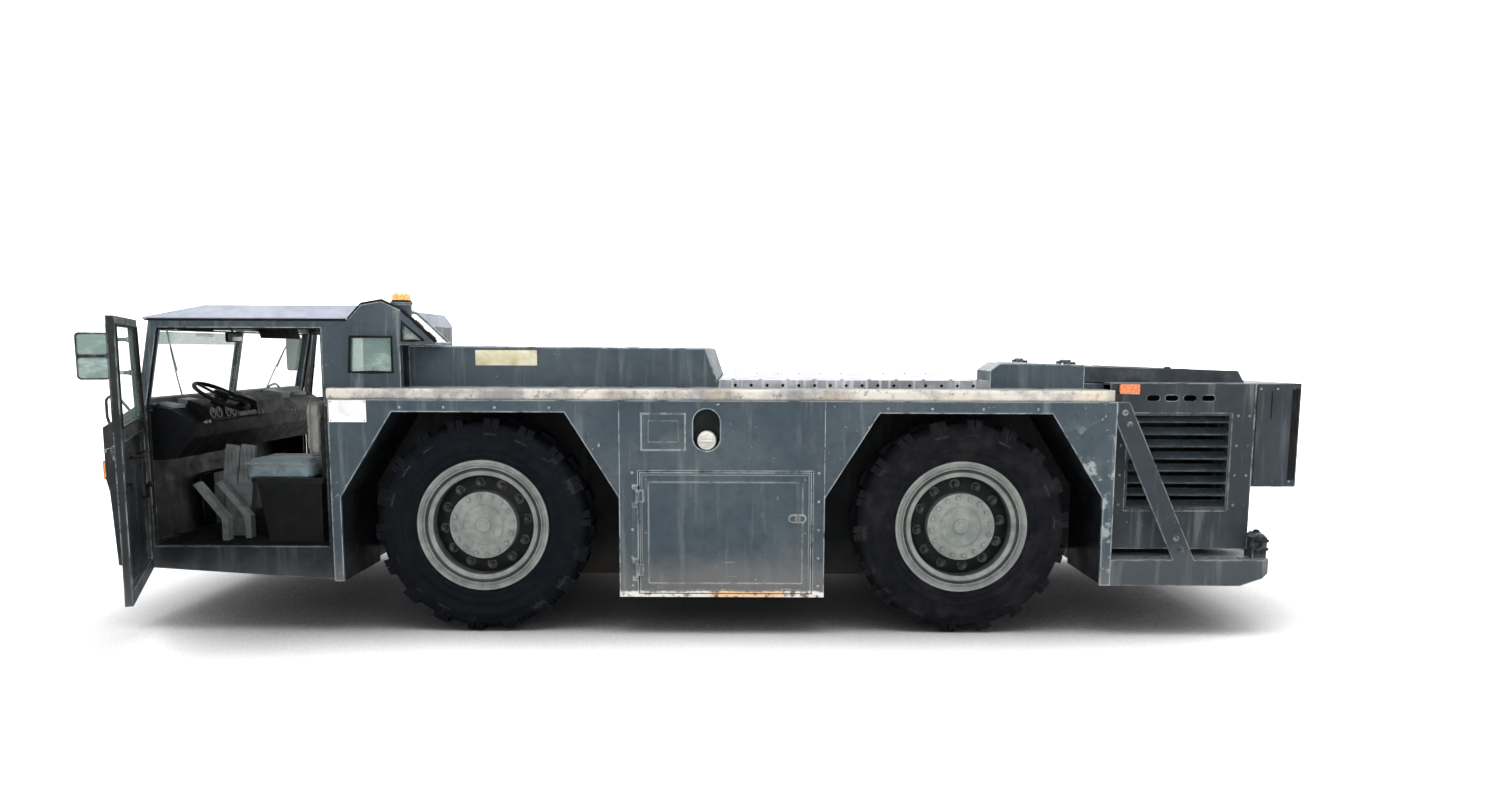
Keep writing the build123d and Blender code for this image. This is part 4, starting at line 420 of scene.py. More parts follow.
class Shape:
    """Gathers mesh parts in the row's frame and hands them over as one piece."""

    def __init__(self):
        self.mesh = bmesh.new()

    def circle(self, centre, side, other, radius, count):
        """Ring of vertices about centre, in the plane of side and other."""
        turns = [2 * math.pi * index / count for index in range(count)]
        return [self.mesh.verts.new(centre + (side * math.cos(turn) + other * math.sin(turn)) * radius)
                for turn in turns]

    def skin(self, rings, closed=False):
        """Faces between each ring and the next, where a ring of one vertex is a tip."""
        for first, second in zip(rings, rings[1:] + rings[:closed]):
            count = max(len(first), len(second))
            for index in range(count):
                after = (index + 1) % count
                corners = dict.fromkeys((first[index % len(first)], first[after % len(first)],
                                         second[after % len(second)], second[index % len(second)]))
                if len(corners) > 2:
                    self.mesh.faces.new(list(corners))

    def prism(self, outline, base, along, across, depth):
        """Outline of (u, v) points on base + u * along + v * across, made thick by depth."""
        low = [self.mesh.verts.new(base + along * u + across * v) for u, v in outline]
        high = [self.mesh.verts.new(vert.co + depth) for vert in low]
        self.mesh.faces.new(low[::-1])
        self.mesh.faces.new(high)
        self.skin([low, high])

    def block(self, low, high, soften=0.0, turn=None):
        """Box from its lowest to its highest corner with softened edges, turned about its middle."""
        low, high = Vector(low), Vector(high)
        verts = bmesh.ops.create_cube(self.mesh, size=1.0)["verts"]
        bmesh.ops.scale(self.mesh, vec=high - low, verts=verts)
        if soften > 0:
            edges = list({edge for vert in verts for edge in vert.link_edges})
            made = bmesh.ops.bevel(self.mesh, geom=edges, offset=soften, segments=2, affect="EDGES",
                                   profile=0.6)
            verts = list({vert for face in made["faces"] for vert in face.verts})
        if turn is not None:
            bmesh.ops.rotate(self.mesh, cent=(0, 0, 0), matrix=turn, verts=verts)
        bmesh.ops.translate(self.mesh, vec=(low + high) / 2, verts=verts)

    def lathe(self, profile, centre, axis, count=48, closed=False):
        """Profile of (radius, distance along axis) points turned about the axis through centre."""
        axis = Vector(axis).normalized()
        side = axis.orthogonal().normalized()
        rings = []
        for radius, distance in profile:
            base = Vector(centre) + axis * distance
            if radius == 0:
                rings.append([self.mesh.verts.new(base)])
            else:
                rings.append(self.circle(base, side, axis.cross(side), radius, count))
        self.skin(rings, closed)

    def collar(self, inner, outer, low, high, centre, axis, count):
        """Flat ring between two radii, from low to high along the axis."""
        self.lathe([(inner, low), (outer, low), (outer, high), (inner, high)], centre, axis, count, True)

    def screw(self, place, way, size, count=10):
        """Domed head of a size given as foot radius, rim radius, rim height and height."""
        foot, rim, rise, height = size
        self.lathe([(0, 0), (foot, 0), (rim, rise), (0, height)], place, way, count)

    def tube(self, points, radius, count=12):
        """Round bar through the points, closed at both ends."""
        points = [Vector(point) for point in points]
        rings = []
        side = None
        for before, point, after in zip(points[:1] + points, points, points[1:] + points[-1:]):
            way = (after - before).normalized()
            if side is None:
                side = way.orthogonal().normalized()
            side = (side - way * side.dot(way)).normalized()
            rings.append(self.circle(point, side, way.cross(side), radius, count))
        self.skin(rings)
        self.mesh.faces.new(rings[0][::-1])
        self.mesh.faces.new(rings[-1])

    def bolt(self, place, way, radius=0.011, height=0.008):
        """Hexagon head on a washer, standing on place and pointing along way."""
        way, place, washer = Vector(way).normalized(), Vector(place), radius * 0.22
        self.lathe([(0, 0), (radius * 1.55, 0), (radius * 1.5, washer), (0, washer)], place, way, 16)
        self.lathe([(0, 0), (radius, 0), (radius, height * 0.8), (radius * 0.82, height), (0, height)],
                   place + way * washer, way, 6)

    def loop(self, points, radius, count=8):
        """Closed bead of rubber or bar through the points."""
        middle = (Vector(points[0]) + Vector(points[-1])) / 2
        self.tube([middle, *points, middle], radius, count)

    def flat_loop(self, corners, depth, width):
        """Flat picture frame along coplanar corners, width wide and raised by the vector depth."""
        corners = [Vector(corner) for corner in corners]
        middle = sum(corners, Vector()) / len(corners)
        inner = []
        for last, corner, following in zip(corners[-1:] + corners, corners, corners[1:] + corners[:1]):
            before, after = (last - corner).normalized(), (following - corner).normalized()
            bisector = (before + after).normalized()
            if bisector.dot(middle - corner) < 0:
                bisector = -bisector
            sine = max(0.3, math.sqrt(max(0.0, (1 - before.dot(after)) / 2)))
            inner.append(corner + bisector * width / sine)
        rings = []
        for source, lift in ((corners, 0), (corners, 1), (inner, 1), (inner, 0)):
            rings.append([self.mesh.verts.new(point + depth * lift) for point in source])
        self.skin(rings, True)

    def piece(self, name, material, slot, body="chassis", smooth=30.0):
        """Hands the mesh over, shaded smooth below an angle, on its body. The slot is not used."""
        bmesh.ops.recalc_face_normals(self.mesh, faces=self.mesh.faces)
        data = bpy.data.meshes.new(name)
        self.mesh.to_mesh(data)
        self.mesh.free()
        data.materials.append(material)
        made = bpy.data.objects.new(name, data)
        bpy.context.collection.objects.link(made)
        if smooth:
            data.shade_smooth()
            data.set_sharp_from_angle(angle=math.radians(smooth))
        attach(made, body)
        return made


# Finish of the carried-over nodes

FINISHED_NODES = [
    (UNDER, "main_frame engine_block front_axle rear_axle front_coupling rear_coupling"),
    (SIDE_PAINT, "side_body_left side_body_right"), (BODY, "front_hood rear_hood"),
    (CAB, "cab_side_left cab_side_right screen_frame cab_rear_cap"), (SHADED_TUB, "cab_tub"), (ROOF, "roof"),
    (TAIL, "rear_bay radiator_box rear_platform"), (LOUVRE, "louvres radiator_grille"),
    (SHADED_INSIDE, "lockers seat_bases"), (RAIL, "deck"), (TREAD, "walkway"), (CLEAR, "windscreen"),
    (TINTED, "cab_glass"), (AMBER, "corner_lamps"), (LAMP, "head_lamps"), (BEACON, "beacon"),
    (BLACK, "dash steering_wheel"), (GREY, "driver_controls"), (WHITE, "fuel_cap"), (COVER, "engine_cover"),
    (SEAT, "seat_cushions"), (PAD, "seat_backs"), (DARK_STEEL, "tie_rod_front tie_rod_rear"),
]
for word, side in SIDES:
    FINISHED_NODES += [(SHADED_DOOR, f"cab_door_{word}"), (CLEAR, f"door_glass_{word}"), (BODY, f"locker_door_{word}")]
    for end, x in AXLES:
        FINISHED_NODES += [(UNDER, f"knuckle_{end}_{word}"), (RIM_FINISH[end], f"wheel_{end}_{word}"),
                           (TYRE_FINISH[end], f"tyre_{end}_{word}")]
for material, nodes in FINISHED_NODES:
    for node in nodes.split():
        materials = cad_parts[node].data.materials
        materials.clear()
        materials.append(material)


# Wheels

TYRE_RADIUS = 0.650
TREAD_BASE = 0.621
TYRE_MIDDLE = 1.010
LUGS = 18
LUG_SLIT = 0.004
SIDEWALL = [
    (0.372, 0.130), (0.397, 0.140), (0.399, 0.150), (0.418, 0.1545), (0.424, 0.160), (0.430, 0.160),
    (0.436, 0.1565), (0.462, 0.163), (0.466, 0.1665), (0.472, 0.1665), (0.476, 0.164), (0.530, 0.168),
    (0.534, 0.170), (0.545, 0.170), (0.549, 0.1675), (0.585, 0.163), (0.606, 0.150), (TREAD_BASE, 0.124),
]
# Number, radius of their circle and distance out from the middle plane.
HUB_BOLTS = (16, 0.176, 1.1546)
WHEEL_NUTS = (12, 0.252, 1.071)
# Out from the middle, depth of the foot below the tread's base, depth of the top, skew and half width.
LUG_STATIONS = (
    (0.010, 0.004, 0.001, -0.010, 0.044), (0.055, 0.006, 0.001, -0.004, 0.046),
    (0.105, 0.012, 0.002, 0.004, 0.047), (0.144, 0.024, 0.004, 0.010, 0.048),
    (0.158, 0.045, 0.040, 0.012, 0.048), (0.168, 0.066, 0.108, 0.014, 0.046),
)


def tyre(end, word, x, side):
    """Carcass with ringed sidewalls and two staggered rows of split lugs that run over the shoulder."""
    shape = Shape()
    profile = [(r, -y) for r, y in SIDEWALL] + [(TREAD_BASE + 0.004, 0.0)]
    profile += [(r, y) for r, y in reversed(SIDEWALL)]
    shape.lathe(profile, (x, side * TYRE_MIDDLE, WHEEL_Z), Y, 96, closed=True)
    for row, shift in ((-1, 0.0), (1, 0.5)):
        for index in range(LUGS):
            turn = (index + shift) * 2 * math.pi / LUGS + math.radians(5)
            for part in (-1, 1):
                rings = []
                for y, sunk, worn, skew, width in LUG_STATIONS:
                    base, top = TREAD_BASE - sunk, TYRE_RADIUS - worn
                    inner, outer = LUG_SLIT * part * bool(rings), width * part
                    middle = Vector((x, side * TYRE_MIDDLE + row * y, WHEEL_Z))
                    ring = []
                    for radius, reach in ((base, inner), (top, inner), (top, outer), (base, outer * 1.05)):
                        angle = turn + (row * skew + reach) / TYRE_RADIUS
                        ring.append(shape.mesh.verts.new(middle + around(angle) * radius))
                    rings.append(ring)
                shape.skin(rings)
                shape.mesh.faces.new(rings[0])
                shape.mesh.faces.new(rings[-1])
    made = shape.piece(f"tyre_{end}_{word}_detailed", TYRE_FINISH[end], "tyre_rubber",
                       f"wheel_{end}_{word}", 38.0)
    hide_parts(f"tyre_{end}_{word}")


def wheel_details(end, word, x, side):
    """Hub bolts, centre boss, wheel nuts and the split lock ring."""
    body = f"wheel_{end}_{word}"
    centre = Vector((x, 0, WHEEL_Z))
    out = Y * side
    hub = Shape()
    number, radius, face = HUB_BOLTS
    for index in range(number):
        hub.bolt(centre + around(2 * math.pi * (index + 0.3) / number) * radius + out * face, out, 0.0115)
    hub.lathe([(0, 0), (0.047, 0), (0.047, 0.004), (0.041, 0.0085), (0.033, 0.0095), (0.030, 0.0075),
               (0, 0.0075)], centre + out * 1.1592, out, 32)
    hub.collar(0.119, 0.124, 0, 0.003, centre + out * 1.1562, out, 64)
    hub.piece(f"hub_bolts_{end}_{word}", RIM_FINISH[end], "rim_paint", body)
    nuts = Shape()
    number, radius, face = WHEEL_NUTS
    for index in range(number):
        place = centre + around(2 * math.pi * index / number + 0.12) * radius + out * face
        nuts.bolt(place, out, 0.020, 0.026)
        nuts.lathe([(0, 0), (0.0105, 0), (0.0105, 0.018), (0.008, 0.021), (0, 0.021)], place + out * 0.028,
                   out, 10)
    nuts.piece(f"wheel_nuts_{end}_{word}", DARK_STEEL, "dark_frame", body)
    ring = Shape()
    for radius in (0.352, 0.372):
        ring.lathe([(radius - 0.0045, 0), (radius + 0.0045, 0), (radius + 0.003, 0.004),
                    (radius - 0.003, 0.004)], centre + out * 1.1620, out, 72, True)
    ring.piece(f"lock_ring_{end}_{word}", RIM_FINISH[end], "rim_paint", body)
    valve = Shape()
    stem = centre + Vector((0.312, 0, 0)) + out * 1.10
    valve.tube([stem, stem + out * 0.04, stem + out * 0.052 + X * 0.006], 0.005, 8)
    valve.tube([stem + out * 0.050 + X * 0.006, stem + out * 0.066 + X * 0.008], 0.007, 8)
    valve.piece(f"valve_{end}_{word}", STEEL, "dark_frame", body)


for end, x in AXLES:
    for word, side in SIDES:
        tyre(end, word, x, side)
        wheel_details(end, word, x, side)


# Cab

PIN_X, PIN_Y = -3.308, 1.229
OPEN = math.radians(67)
SCREEN_LEAN = 0.188
WINDOW_Y = 1.159
CAP_WINDOW_Y = -1.1705
GAUGE_X, GAUGE_Z, GAUGE_RADIUS = -3.0395, 1.304, 0.030
DASH_TOP = 1.344
# Sizes of domed heads: foot radius, rim radius, rim height and height.
SCREW = (0.008, 0.0066, 0.003, 0.004)
SMALL_SCREW = (0.007, 0.006, 0.003, 0.004)


def door_way(side, u, w):
    """Horizontal direction u along an open cab door and w outward from it."""
    cosine, sine = math.cos(OPEN), math.sin(OPEN)
    return Vector((u * cosine - w * sine, side * (u * sine + w * cosine), 0))


def cab_trim():
    """Rubber beads round the windows, the roof gutter and the edging of the driver's rear corner."""
    beads = Shape()
    for side in (-1, 1):
        y = side * WINDOW_Y
        beads.loop([(-3.268, y, 1.375), (-3.180, y, 1.819), (-2.223, y, 1.819), (-2.223, y, 0.525),
                    (-3.268, y, 0.525)], 0.0085)
        beads.loop([(-3.3035, side * 0.018, 1.404), (-3.2265, side * 0.018, 1.811),
                    (-3.2265, side * 1.116, 1.811), (-3.3035, side * 1.116, 1.404)], 0.0062)
    y = CAP_WINDOW_Y
    beads.loop([(-2.062, y, 1.565), (-2.050, y, 1.772), (-1.806, y, 1.772), (-1.806, y, 1.565)], 0.009)
    beads.loop([(-1.746, y, 1.750), (-1.746, y, 1.860), (-1.616, y, 1.750)], 0.008)
    beads.piece("window_beads", SOFT_BLACK, "black_plastic", smooth=50)
    edging = Shape()
    y = -1.160
    edging.tube([(-2.058, y, 1.874), (-1.978, y, 1.961), (-1.860, y, 1.982), (-1.744, y, 1.929)], 0.0105)
    edging.tube([(-1.742, y, 1.927), (-1.655, y, 1.845), (-1.547, y, 1.742)], 0.012)
    for x, z in ((-1.722, 1.909), (-1.650, 1.842), (-1.580, 1.776)):
        edging.block((x - 0.03, -1.172, z - 0.010), (x + 0.03, -1.130, z + 0.012), 0.004,
                     Matrix.Rotation(0.76, 3, "Y"))
    edging.piece("corner_edging", SOFT_BLACK, "black_plastic", smooth=50)
    gutter = Shape()
    for side in (-1, 1):
        gutter.prism([(0, 0), (0.009, 0.004), (0.009, 0.014), (0.006, 0.014), (0.006, 0.007), (0, 0.004)],
                     Vector((-3.235, side * 1.170, 1.862)), Y * side, Z, X * 1.17)
        gutter.tube([(-3.25, side * 1.172, 1.868), (-2.07, side * 1.172, 1.868)], 0.006, 8)
    gutter.piece("roof_gutter", BLACK, "black_plastic", smooth=40)
    joint = Shape()
    for y in (-0.39, 0.39):
        joint.block((-2.92, y - 0.012, 1.9590), (-2.10, y + 0.012, 1.9622), 0.001)
    for x, y in ((-2.115, -0.80), (-2.115, 0.0), (-2.115, 0.80), (-2.90, -0.80), (-2.90, 0.80)):
        joint.screw((x, y, 1.9605), Z, (0.011, 0.0095, 0.002, 0.0028), 12)
    joint.piece("roof_seams", ROOF, "roof_paint")
    ring = Shape()
    ring.lathe([(0.052, 0), (0.0635, 0), (0.0635, 0.004), (0.059, 0.007), (0.0565, 0.007), (0.0565, 0.013),
                (0.052, 0.013)], (-1.775, -1.050, 1.9755), Z, 40, True)
    ring.piece("beacon_ring", BLACK, "black_plastic")


def wipers():
    """Two parked wipers with their blades, arms and spindles."""
    for word, y, reach in (("near", -0.62, -0.30), ("far", 0.62, 0.30)):
        shape = Shape()
        low = Vector((-3.3175, y, 1.392))
        arm = Vector((SCREEN_LEAN * 0.40, reach, 0.40))
        shape.lathe([(0, 0), (0.016, 0), (0.016, 0.016), (0.011, 0.022), (0, 0.022)], low - X * 0.004,
                    (-1, 0, 0.19), 16)
        shape.tube([low - X * 0.014, low + arm * 0.35 - X * 0.016, low + arm * 0.8 - X * 0.010], 0.005, 8)
        way, middle = arm.normalized(), low + arm * 0.8
        shape.tube([middle - way * 0.19 - X * 0.0055, middle - X * 0.007, middle + way * 0.17 - X * 0.0055],
                   0.0045, 8)
        shape.piece(f"wiper_{word}", BLACK, "black_plastic", smooth=50)


def cab_door_parts(word, side):
    """Window bead, inside grab, handle, lock and the glass of the two-part mirror."""
    def at(u, w, z):
        return Vector((PIN_X, side * PIN_Y, z)) + door_way(side, u, w)

    body = f"cab_door_{word}"
    inward, outward, along = door_way(side, 0, -1), door_way(side, 0, 1), door_way(side, 1, 0)
    hinged, free, low, belt, top = 0.061, 1.067, 1.303, 1.369, 1.818
    for name, w in (("inner", -0.0495), ("outer", -0.0105)):
        bead = Shape()
        bead.loop([at(hinged, w, low), at(hinged, w, belt), at(hinged + SCREEN_LEAN * (top - belt), w, top),
                   at(free, w, top), at(free, w, low)], 0.0065)
        bead.piece(f"door_bead_{name}_{word}", SOFT_BLACK, "black_plastic", body, 50)
    inside = Shape()
    knob = at(0.36, -0.074, 0.94)
    inside.tube([at(u, w, 1.13) for u, w in ((0.46, -0.040), (0.46, -0.090), (0.50, -0.098), (0.74, -0.098),
                                             (0.78, -0.090), (0.78, -0.040))], 0.010, 10)
    inside.tube([at(0.90, -0.030, 1.00), at(0.90, -0.062, 1.00), at(0.99, -0.068, 0.985)], 0.009, 10)
    inside.tube([at(0.30, -0.030, 0.86), at(0.30, -0.070, 0.86), knob], 0.008, 10)
    inside.lathe([(0, 0), (0.015, 0.003), (0.018, 0.014), (0.014, 0.026), (0, 0.030)], knob, inward, 16)
    inside.piece(f"door_inside_handles_{word}", BLACK, "black_plastic", body, 50)
    panel = Shape()
    panel.flat_loop([at(u, -0.0235, z) for u, z in ((0.10, 0.48), (1.02, 0.48), (1.02, 1.22), (0.10, 1.22))],
                    inward * 0.005, 0.018)
    for u in (0.13, 0.42, 0.71, 0.99):
        for z in (0.489, 1.211):
            panel.screw(at(u, -0.0285, z), inward, SMALL_SCREW)
    panel.piece(f"door_lining_{word}", SHADED_INSIDE, "dark_paint", body)
    outside = Shape()
    outside.tube([at(0.965, 0.0, 1.19), at(0.965, 0.030, 1.19), at(1.070, 0.034, 1.19)], 0.008, 10)
    outside.lathe([(0, 0), (0.012, 0), (0.012, 0.006), (0.008, 0.007), (0, 0.004)], at(1.005, 0.002, 1.150),
                  outward, 16)
    outside.piece(f"door_outside_handle_{word}", STEEL, "dark_frame", body, 50)
    mirrors = Shape()
    for z in (1.588, 1.722):
        mirrors.prism([(-0.064, -0.055), (0.064, -0.055), (0.073, -0.046), (0.073, 0.046), (0.064, 0.055),
                       (-0.064, 0.055), (-0.073, 0.046), (-0.073, -0.046)],
                      at(0.1412, 0.177, z), outward, Z, along * 0.0028)
    mirrors.piece(f"mirror_glass_{word}", SILVER, "window_glass", body, 20)
    clamps = Shape()
    for z in (1.561, 1.749):
        for w in (-0.005, 0.078):
            clamps.lathe([(0.0112, -0.011), (0.0155, -0.009), (0.0155, 0.009), (0.0112, 0.011)],
                         at(0.133, w, z), outward, 16, True)
    clamps.piece(f"mirror_clamps_{word}", DARK_STEEL, "dark_frame", body, 40)
    hinge = Shape()
    for z in (0.640, 1.180):
        for step in (-0.034, 0.034):
            hinge.bolt(at(0.036, -0.0105, z + step), outward, 0.008, 0.005)
    hinge.piece(f"door_hinge_bolts_{word}", CAB, "body_paint", body)


def dash_parts():
    """Gauges and switches on the dash, with boxes and vents on top of it."""
    dials, rims, marks = Shape(), Shape(), Shape()
    face = Vector((math.cos(math.radians(9)), 0, math.sin(math.radians(9))))
    up = face.cross(Y).normalized()
    r = GAUGE_RADIUS
    for y in (-0.56, -0.64, -0.76, -0.84):
        place = Vector((GAUGE_X, y, GAUGE_Z))
        dials.lathe([(0, 0), (r, 0), (r, 0.002), (0, 0.002)], place, face, 28)
        rims.lathe([(r - 0.001, 0), (r + 0.005, 0), (r + 0.004, 0.007), (r - 0.001, 0.007)],
                   place, face, 28, True)
        for tick in range(9):
            angle = math.radians(-120 + 30 * tick)
            out = Y * math.sin(angle) + up * math.cos(angle)
            marks.tube([place + face * 0.0026 + out * (r * share) for share in (0.72, 0.92)], 0.0009, 4)
        marks.tube([place + face * 0.003, place + face * 0.003 + (Y * 0.5 + up) * r * 0.62], 0.0012, 4)
    dials.piece("gauge_faces", BLACK, "black_plastic")
    rims.piece("gauge_rims", STEEL, "dark_frame")
    marks.piece("gauge_marks", WHITE, "white_plastic", smooth=0)
    switches = Shape()
    for index in range(7):
        y = -0.46 + index * 0.052
        switches.block((-3.052, y - 0.012, 1.262), (-3.032, y + 0.012, 1.292), 0.002)
        switches.block((-3.036, y - 0.007, 1.268), (-3.024, y + 0.007, 1.284), 0.002,
                       Matrix.Rotation(0.2, 3, "Y"))
    for y in (-0.98, -0.93, 0.30, 0.36, 0.42):
        switches.tube([(-3.046, y, 1.250), (-3.016, y, 1.256)], 0.004, 8)
        switches.lathe([(0, 0), (0.010, 0.002), (0.010, 0.010), (0, 0.012)], (-3.020, y, 1.255),
                       (1, 0, 0.2), 12)
    switches.piece("dash_switches", GREY, "grey_plastic")
    clutter = Shape()
    for x, y, length, width, height in (
            (-3.245, -0.97, 0.16, 0.10, 0.030), (-3.225, -0.74, 0.09, 0.13, 0.042),
            (-3.200, -0.36, 0.17, 0.14, 0.036), (-3.230, 0.10, 0.12, 0.22, 0.030),
            (-3.215, 0.52, 0.15, 0.17, 0.048), (-3.225, 0.88, 0.10, 0.20, 0.032)):
        turn = Matrix.Rotation(random.uniform(-0.25, 0.25), 3, "Z") @ Matrix.Rotation(0.16, 3, "Y")
        clutter.block((x - length / 2, y - width / 2, DASH_TOP),
                      (x + length / 2, y + width / 2, DASH_TOP + height), 0.006, turn)
    clutter.piece("dash_top_boxes", GREY, "grey_plastic")
    vents = Shape()
    for y in (-0.86, -0.56, 0.24, 0.72):
        vents.flat_loop([(-3.262, y - 0.07, 1.3585), (-3.262, y + 0.07, 1.3585), (-3.222, y + 0.07, 1.3515),
                         (-3.222, y - 0.07, 1.3515)], Vector((0.0007, 0, 0.004)), 0.006)
        for step in range(4):
            x, drop = -3.254 + step * 0.008, step * 0.0014
            vents.block((x - 0.0015, y - 0.064, 1.3500 - drop), (x + 0.0015, y + 0.064, 1.3600 - drop))
    vents.piece("screen_vents", BLACK, "black_plastic")


def cab_inside():
    """Visors, mirror, sun band, mat, sill treads and the grips of the controls."""
    visor = Shape()
    visor.block((-3.176, 0.19, 1.772), (-3.160, 0.87, 1.862), 0.006, Matrix.Rotation(-0.30, 3, "Y"))
    visor.tube([(-3.150, 0.17, 1.858), (-3.150, 0.90, 1.858)], 0.006, 8)
    for y in (0.20, 0.86):
        visor.block((-3.160, y - 0.012, 1.848), (-3.140, y + 0.012, 1.868), 0.003)
    visor.block((-3.176, -0.96, 1.806), (-3.162, -0.52, 1.862), 0.006, Matrix.Rotation(-0.45, 3, "Y"))
    visor.piece("sun_visors", SOFT_BLACK, "black_plastic")
    mirror = Shape()
    mirror.tube([(-3.168, -0.30, 1.862), (-3.140, -0.30, 1.822), (-3.128, -0.30, 1.792)], 0.006, 10)
    mirror.block((-3.136, -0.41, 1.742), (-3.120, -0.19, 1.806), 0.007)
    mirror.piece("inside_mirror", BLACK, "black_plastic")
    pane = Shape()
    pane.block((-3.1205, -0.400, 1.750), (-3.1180, -0.200, 1.798), 0.001)
    pane.piece("inside_mirror_glass", SILVER, "window_glass")
    band = Shape()
    band.prism([(0, 0), (0.077, 0.0), (0.077, 0.004), (0, 0.004)], Vector((-3.2375, -1.10, 1.725)),
               Vector((SCREEN_LEAN, 0, 1)).normalized(), Vector((1, 0, -SCREEN_LEAN)).normalized(), Y * 1.06)
    band.piece("screen_sun_band", TINT_BAND, "window_glass")
    mat = Shape()
    mat.block((-3.38, -1.118, 0.4905), (-2.235, 1.118, 0.4955), 0.001)
    for index in range(36):
        y = -1.10 + index * 0.0629
        mat.block((-3.36, y - 0.009, 0.495), (-2.25, y + 0.009, 0.4985))
    mat.piece("floor_mat", SOFT_BLACK, "black_plastic", smooth=0)
    sill = Shape()
    for side in (-1, 1):
        y = side * 1.150
        sill.block((-3.255, y - 0.018, 0.5198), (-2.240, y + 0.018, 0.5232), 0.001)
        for index in range(9):
            sill.screw((-3.20 + index * 0.115, y, 0.523), Z, (0.006, 0.005, 0.002, 0.003))
    sill.piece("sill_treads", STEEL, "dark_frame")
    grip, y = Shape(), -0.398
    grip.tube([(x, y, z) for x, z in ((-2.900, 0.876), (-2.925, 0.871), (-2.975, 0.858), (-3.035, 0.842),
                                      (-3.052, 0.838))], 0.0205, 14)
    grip.lathe([(0, -0.02), (0.014, -0.018), (0.021, -0.006), (0.021, 0.006), (0.012, 0.018), (0, 0.02)],
               (-3.062, y, 0.835), (1, 0, 0.24), 14)
    grip.piece("brake_lever_grip", TAN, "grey_plastic", smooth=50)
    pads = Shape()
    slope = Vector((0.62, 0, -0.785)).normalized()
    for x, y in ((-3.183, -0.79), (-3.078, -0.70)):
        for step in range(6):
            at = Vector((x + 0.012, y, 0.855)) + slope * (0.014 + step * 0.021)
            pads.block(at - Vector((0.003, 0.029, 0.003)), at + Vector((0.006, 0.029, 0.006)), 0.001)
    pads.piece("pedal_ribs", SOFT_BLACK, "black_plastic")


def hand_wheel():
    """Horn button, column collar and stalks."""
    tilt = math.radians(28)
    way = Vector((math.sin(tilt), 0, math.cos(tilt)))
    centre = Vector((-3.045, -0.700, 1.402))
    horn = Shape()
    horn.lathe([(0, 0.0), (0.052, 0.0), (0.054, 0.006), (0.044, 0.016), (0.028, 0.021), (0, 0.022)],
               centre + way * 0.010, way, 32)
    horn.piece("horn_button", BLACK, "black_plastic", smooth=50)
    stalks = Shape()
    base = centre - way * 0.075
    stalks.lathe([(0.034, -0.030), (0.046, -0.026), (0.046, 0.026), (0.034, 0.030)], base, way, 24, True)
    stalks.tube([base + Y * 0.04, base + Y * 0.13 + way * 0.010, base + Y * 0.17 + way * 0.012], 0.0055, 10)
    stalks.tube([base - Y * 0.04, base - Y * 0.12 + way * 0.012, base - Y * 0.15 + way * 0.014], 0.0055, 10)
    for tip in (base + Y * 0.172 + way * 0.012, base - Y * 0.152 + way * 0.014):
        stalks.lathe([(0, -0.012), (0.009, -0.009), (0.010, 0.009), (0, 0.012)], tip, Y, 12)
    stalks.piece("column_stalks", BLACK, "black_plastic", smooth=50)


# Cushions

CORNER = 0.055
SWELL_REACH = 0.016


def pad_outline(low, high, crown, steps, grow=0.0):
    """Points round a pad with round corners, in the plane square to its crown axis."""
    low, high = Vector(low), Vector(high)
    points = []
    first, second = (index for index in range(3) if index != crown)
    for start, a, b in ((0, 1, 1), (90, -1, 1), (180, -1, -1), (270, 1, -1)):
        for step in range(steps + 1):
            angle = math.radians(start + 90 / steps * step)
            point = []
            for index, sign, wave in ((first, a, math.cos(angle)), (second, b, math.sin(angle))):
                centre = high[index] + grow - CORNER if sign > 0 else low[index] - grow + CORNER
                point.append(centre + CORNER * wave)
            points.append(point)
    return points


def apply_modifier(made, name):
    with bpy.context.temp_override(object=made, active_object=made, selected_objects=[made]):
        bpy.ops.object.modifier_apply(modifier=name)


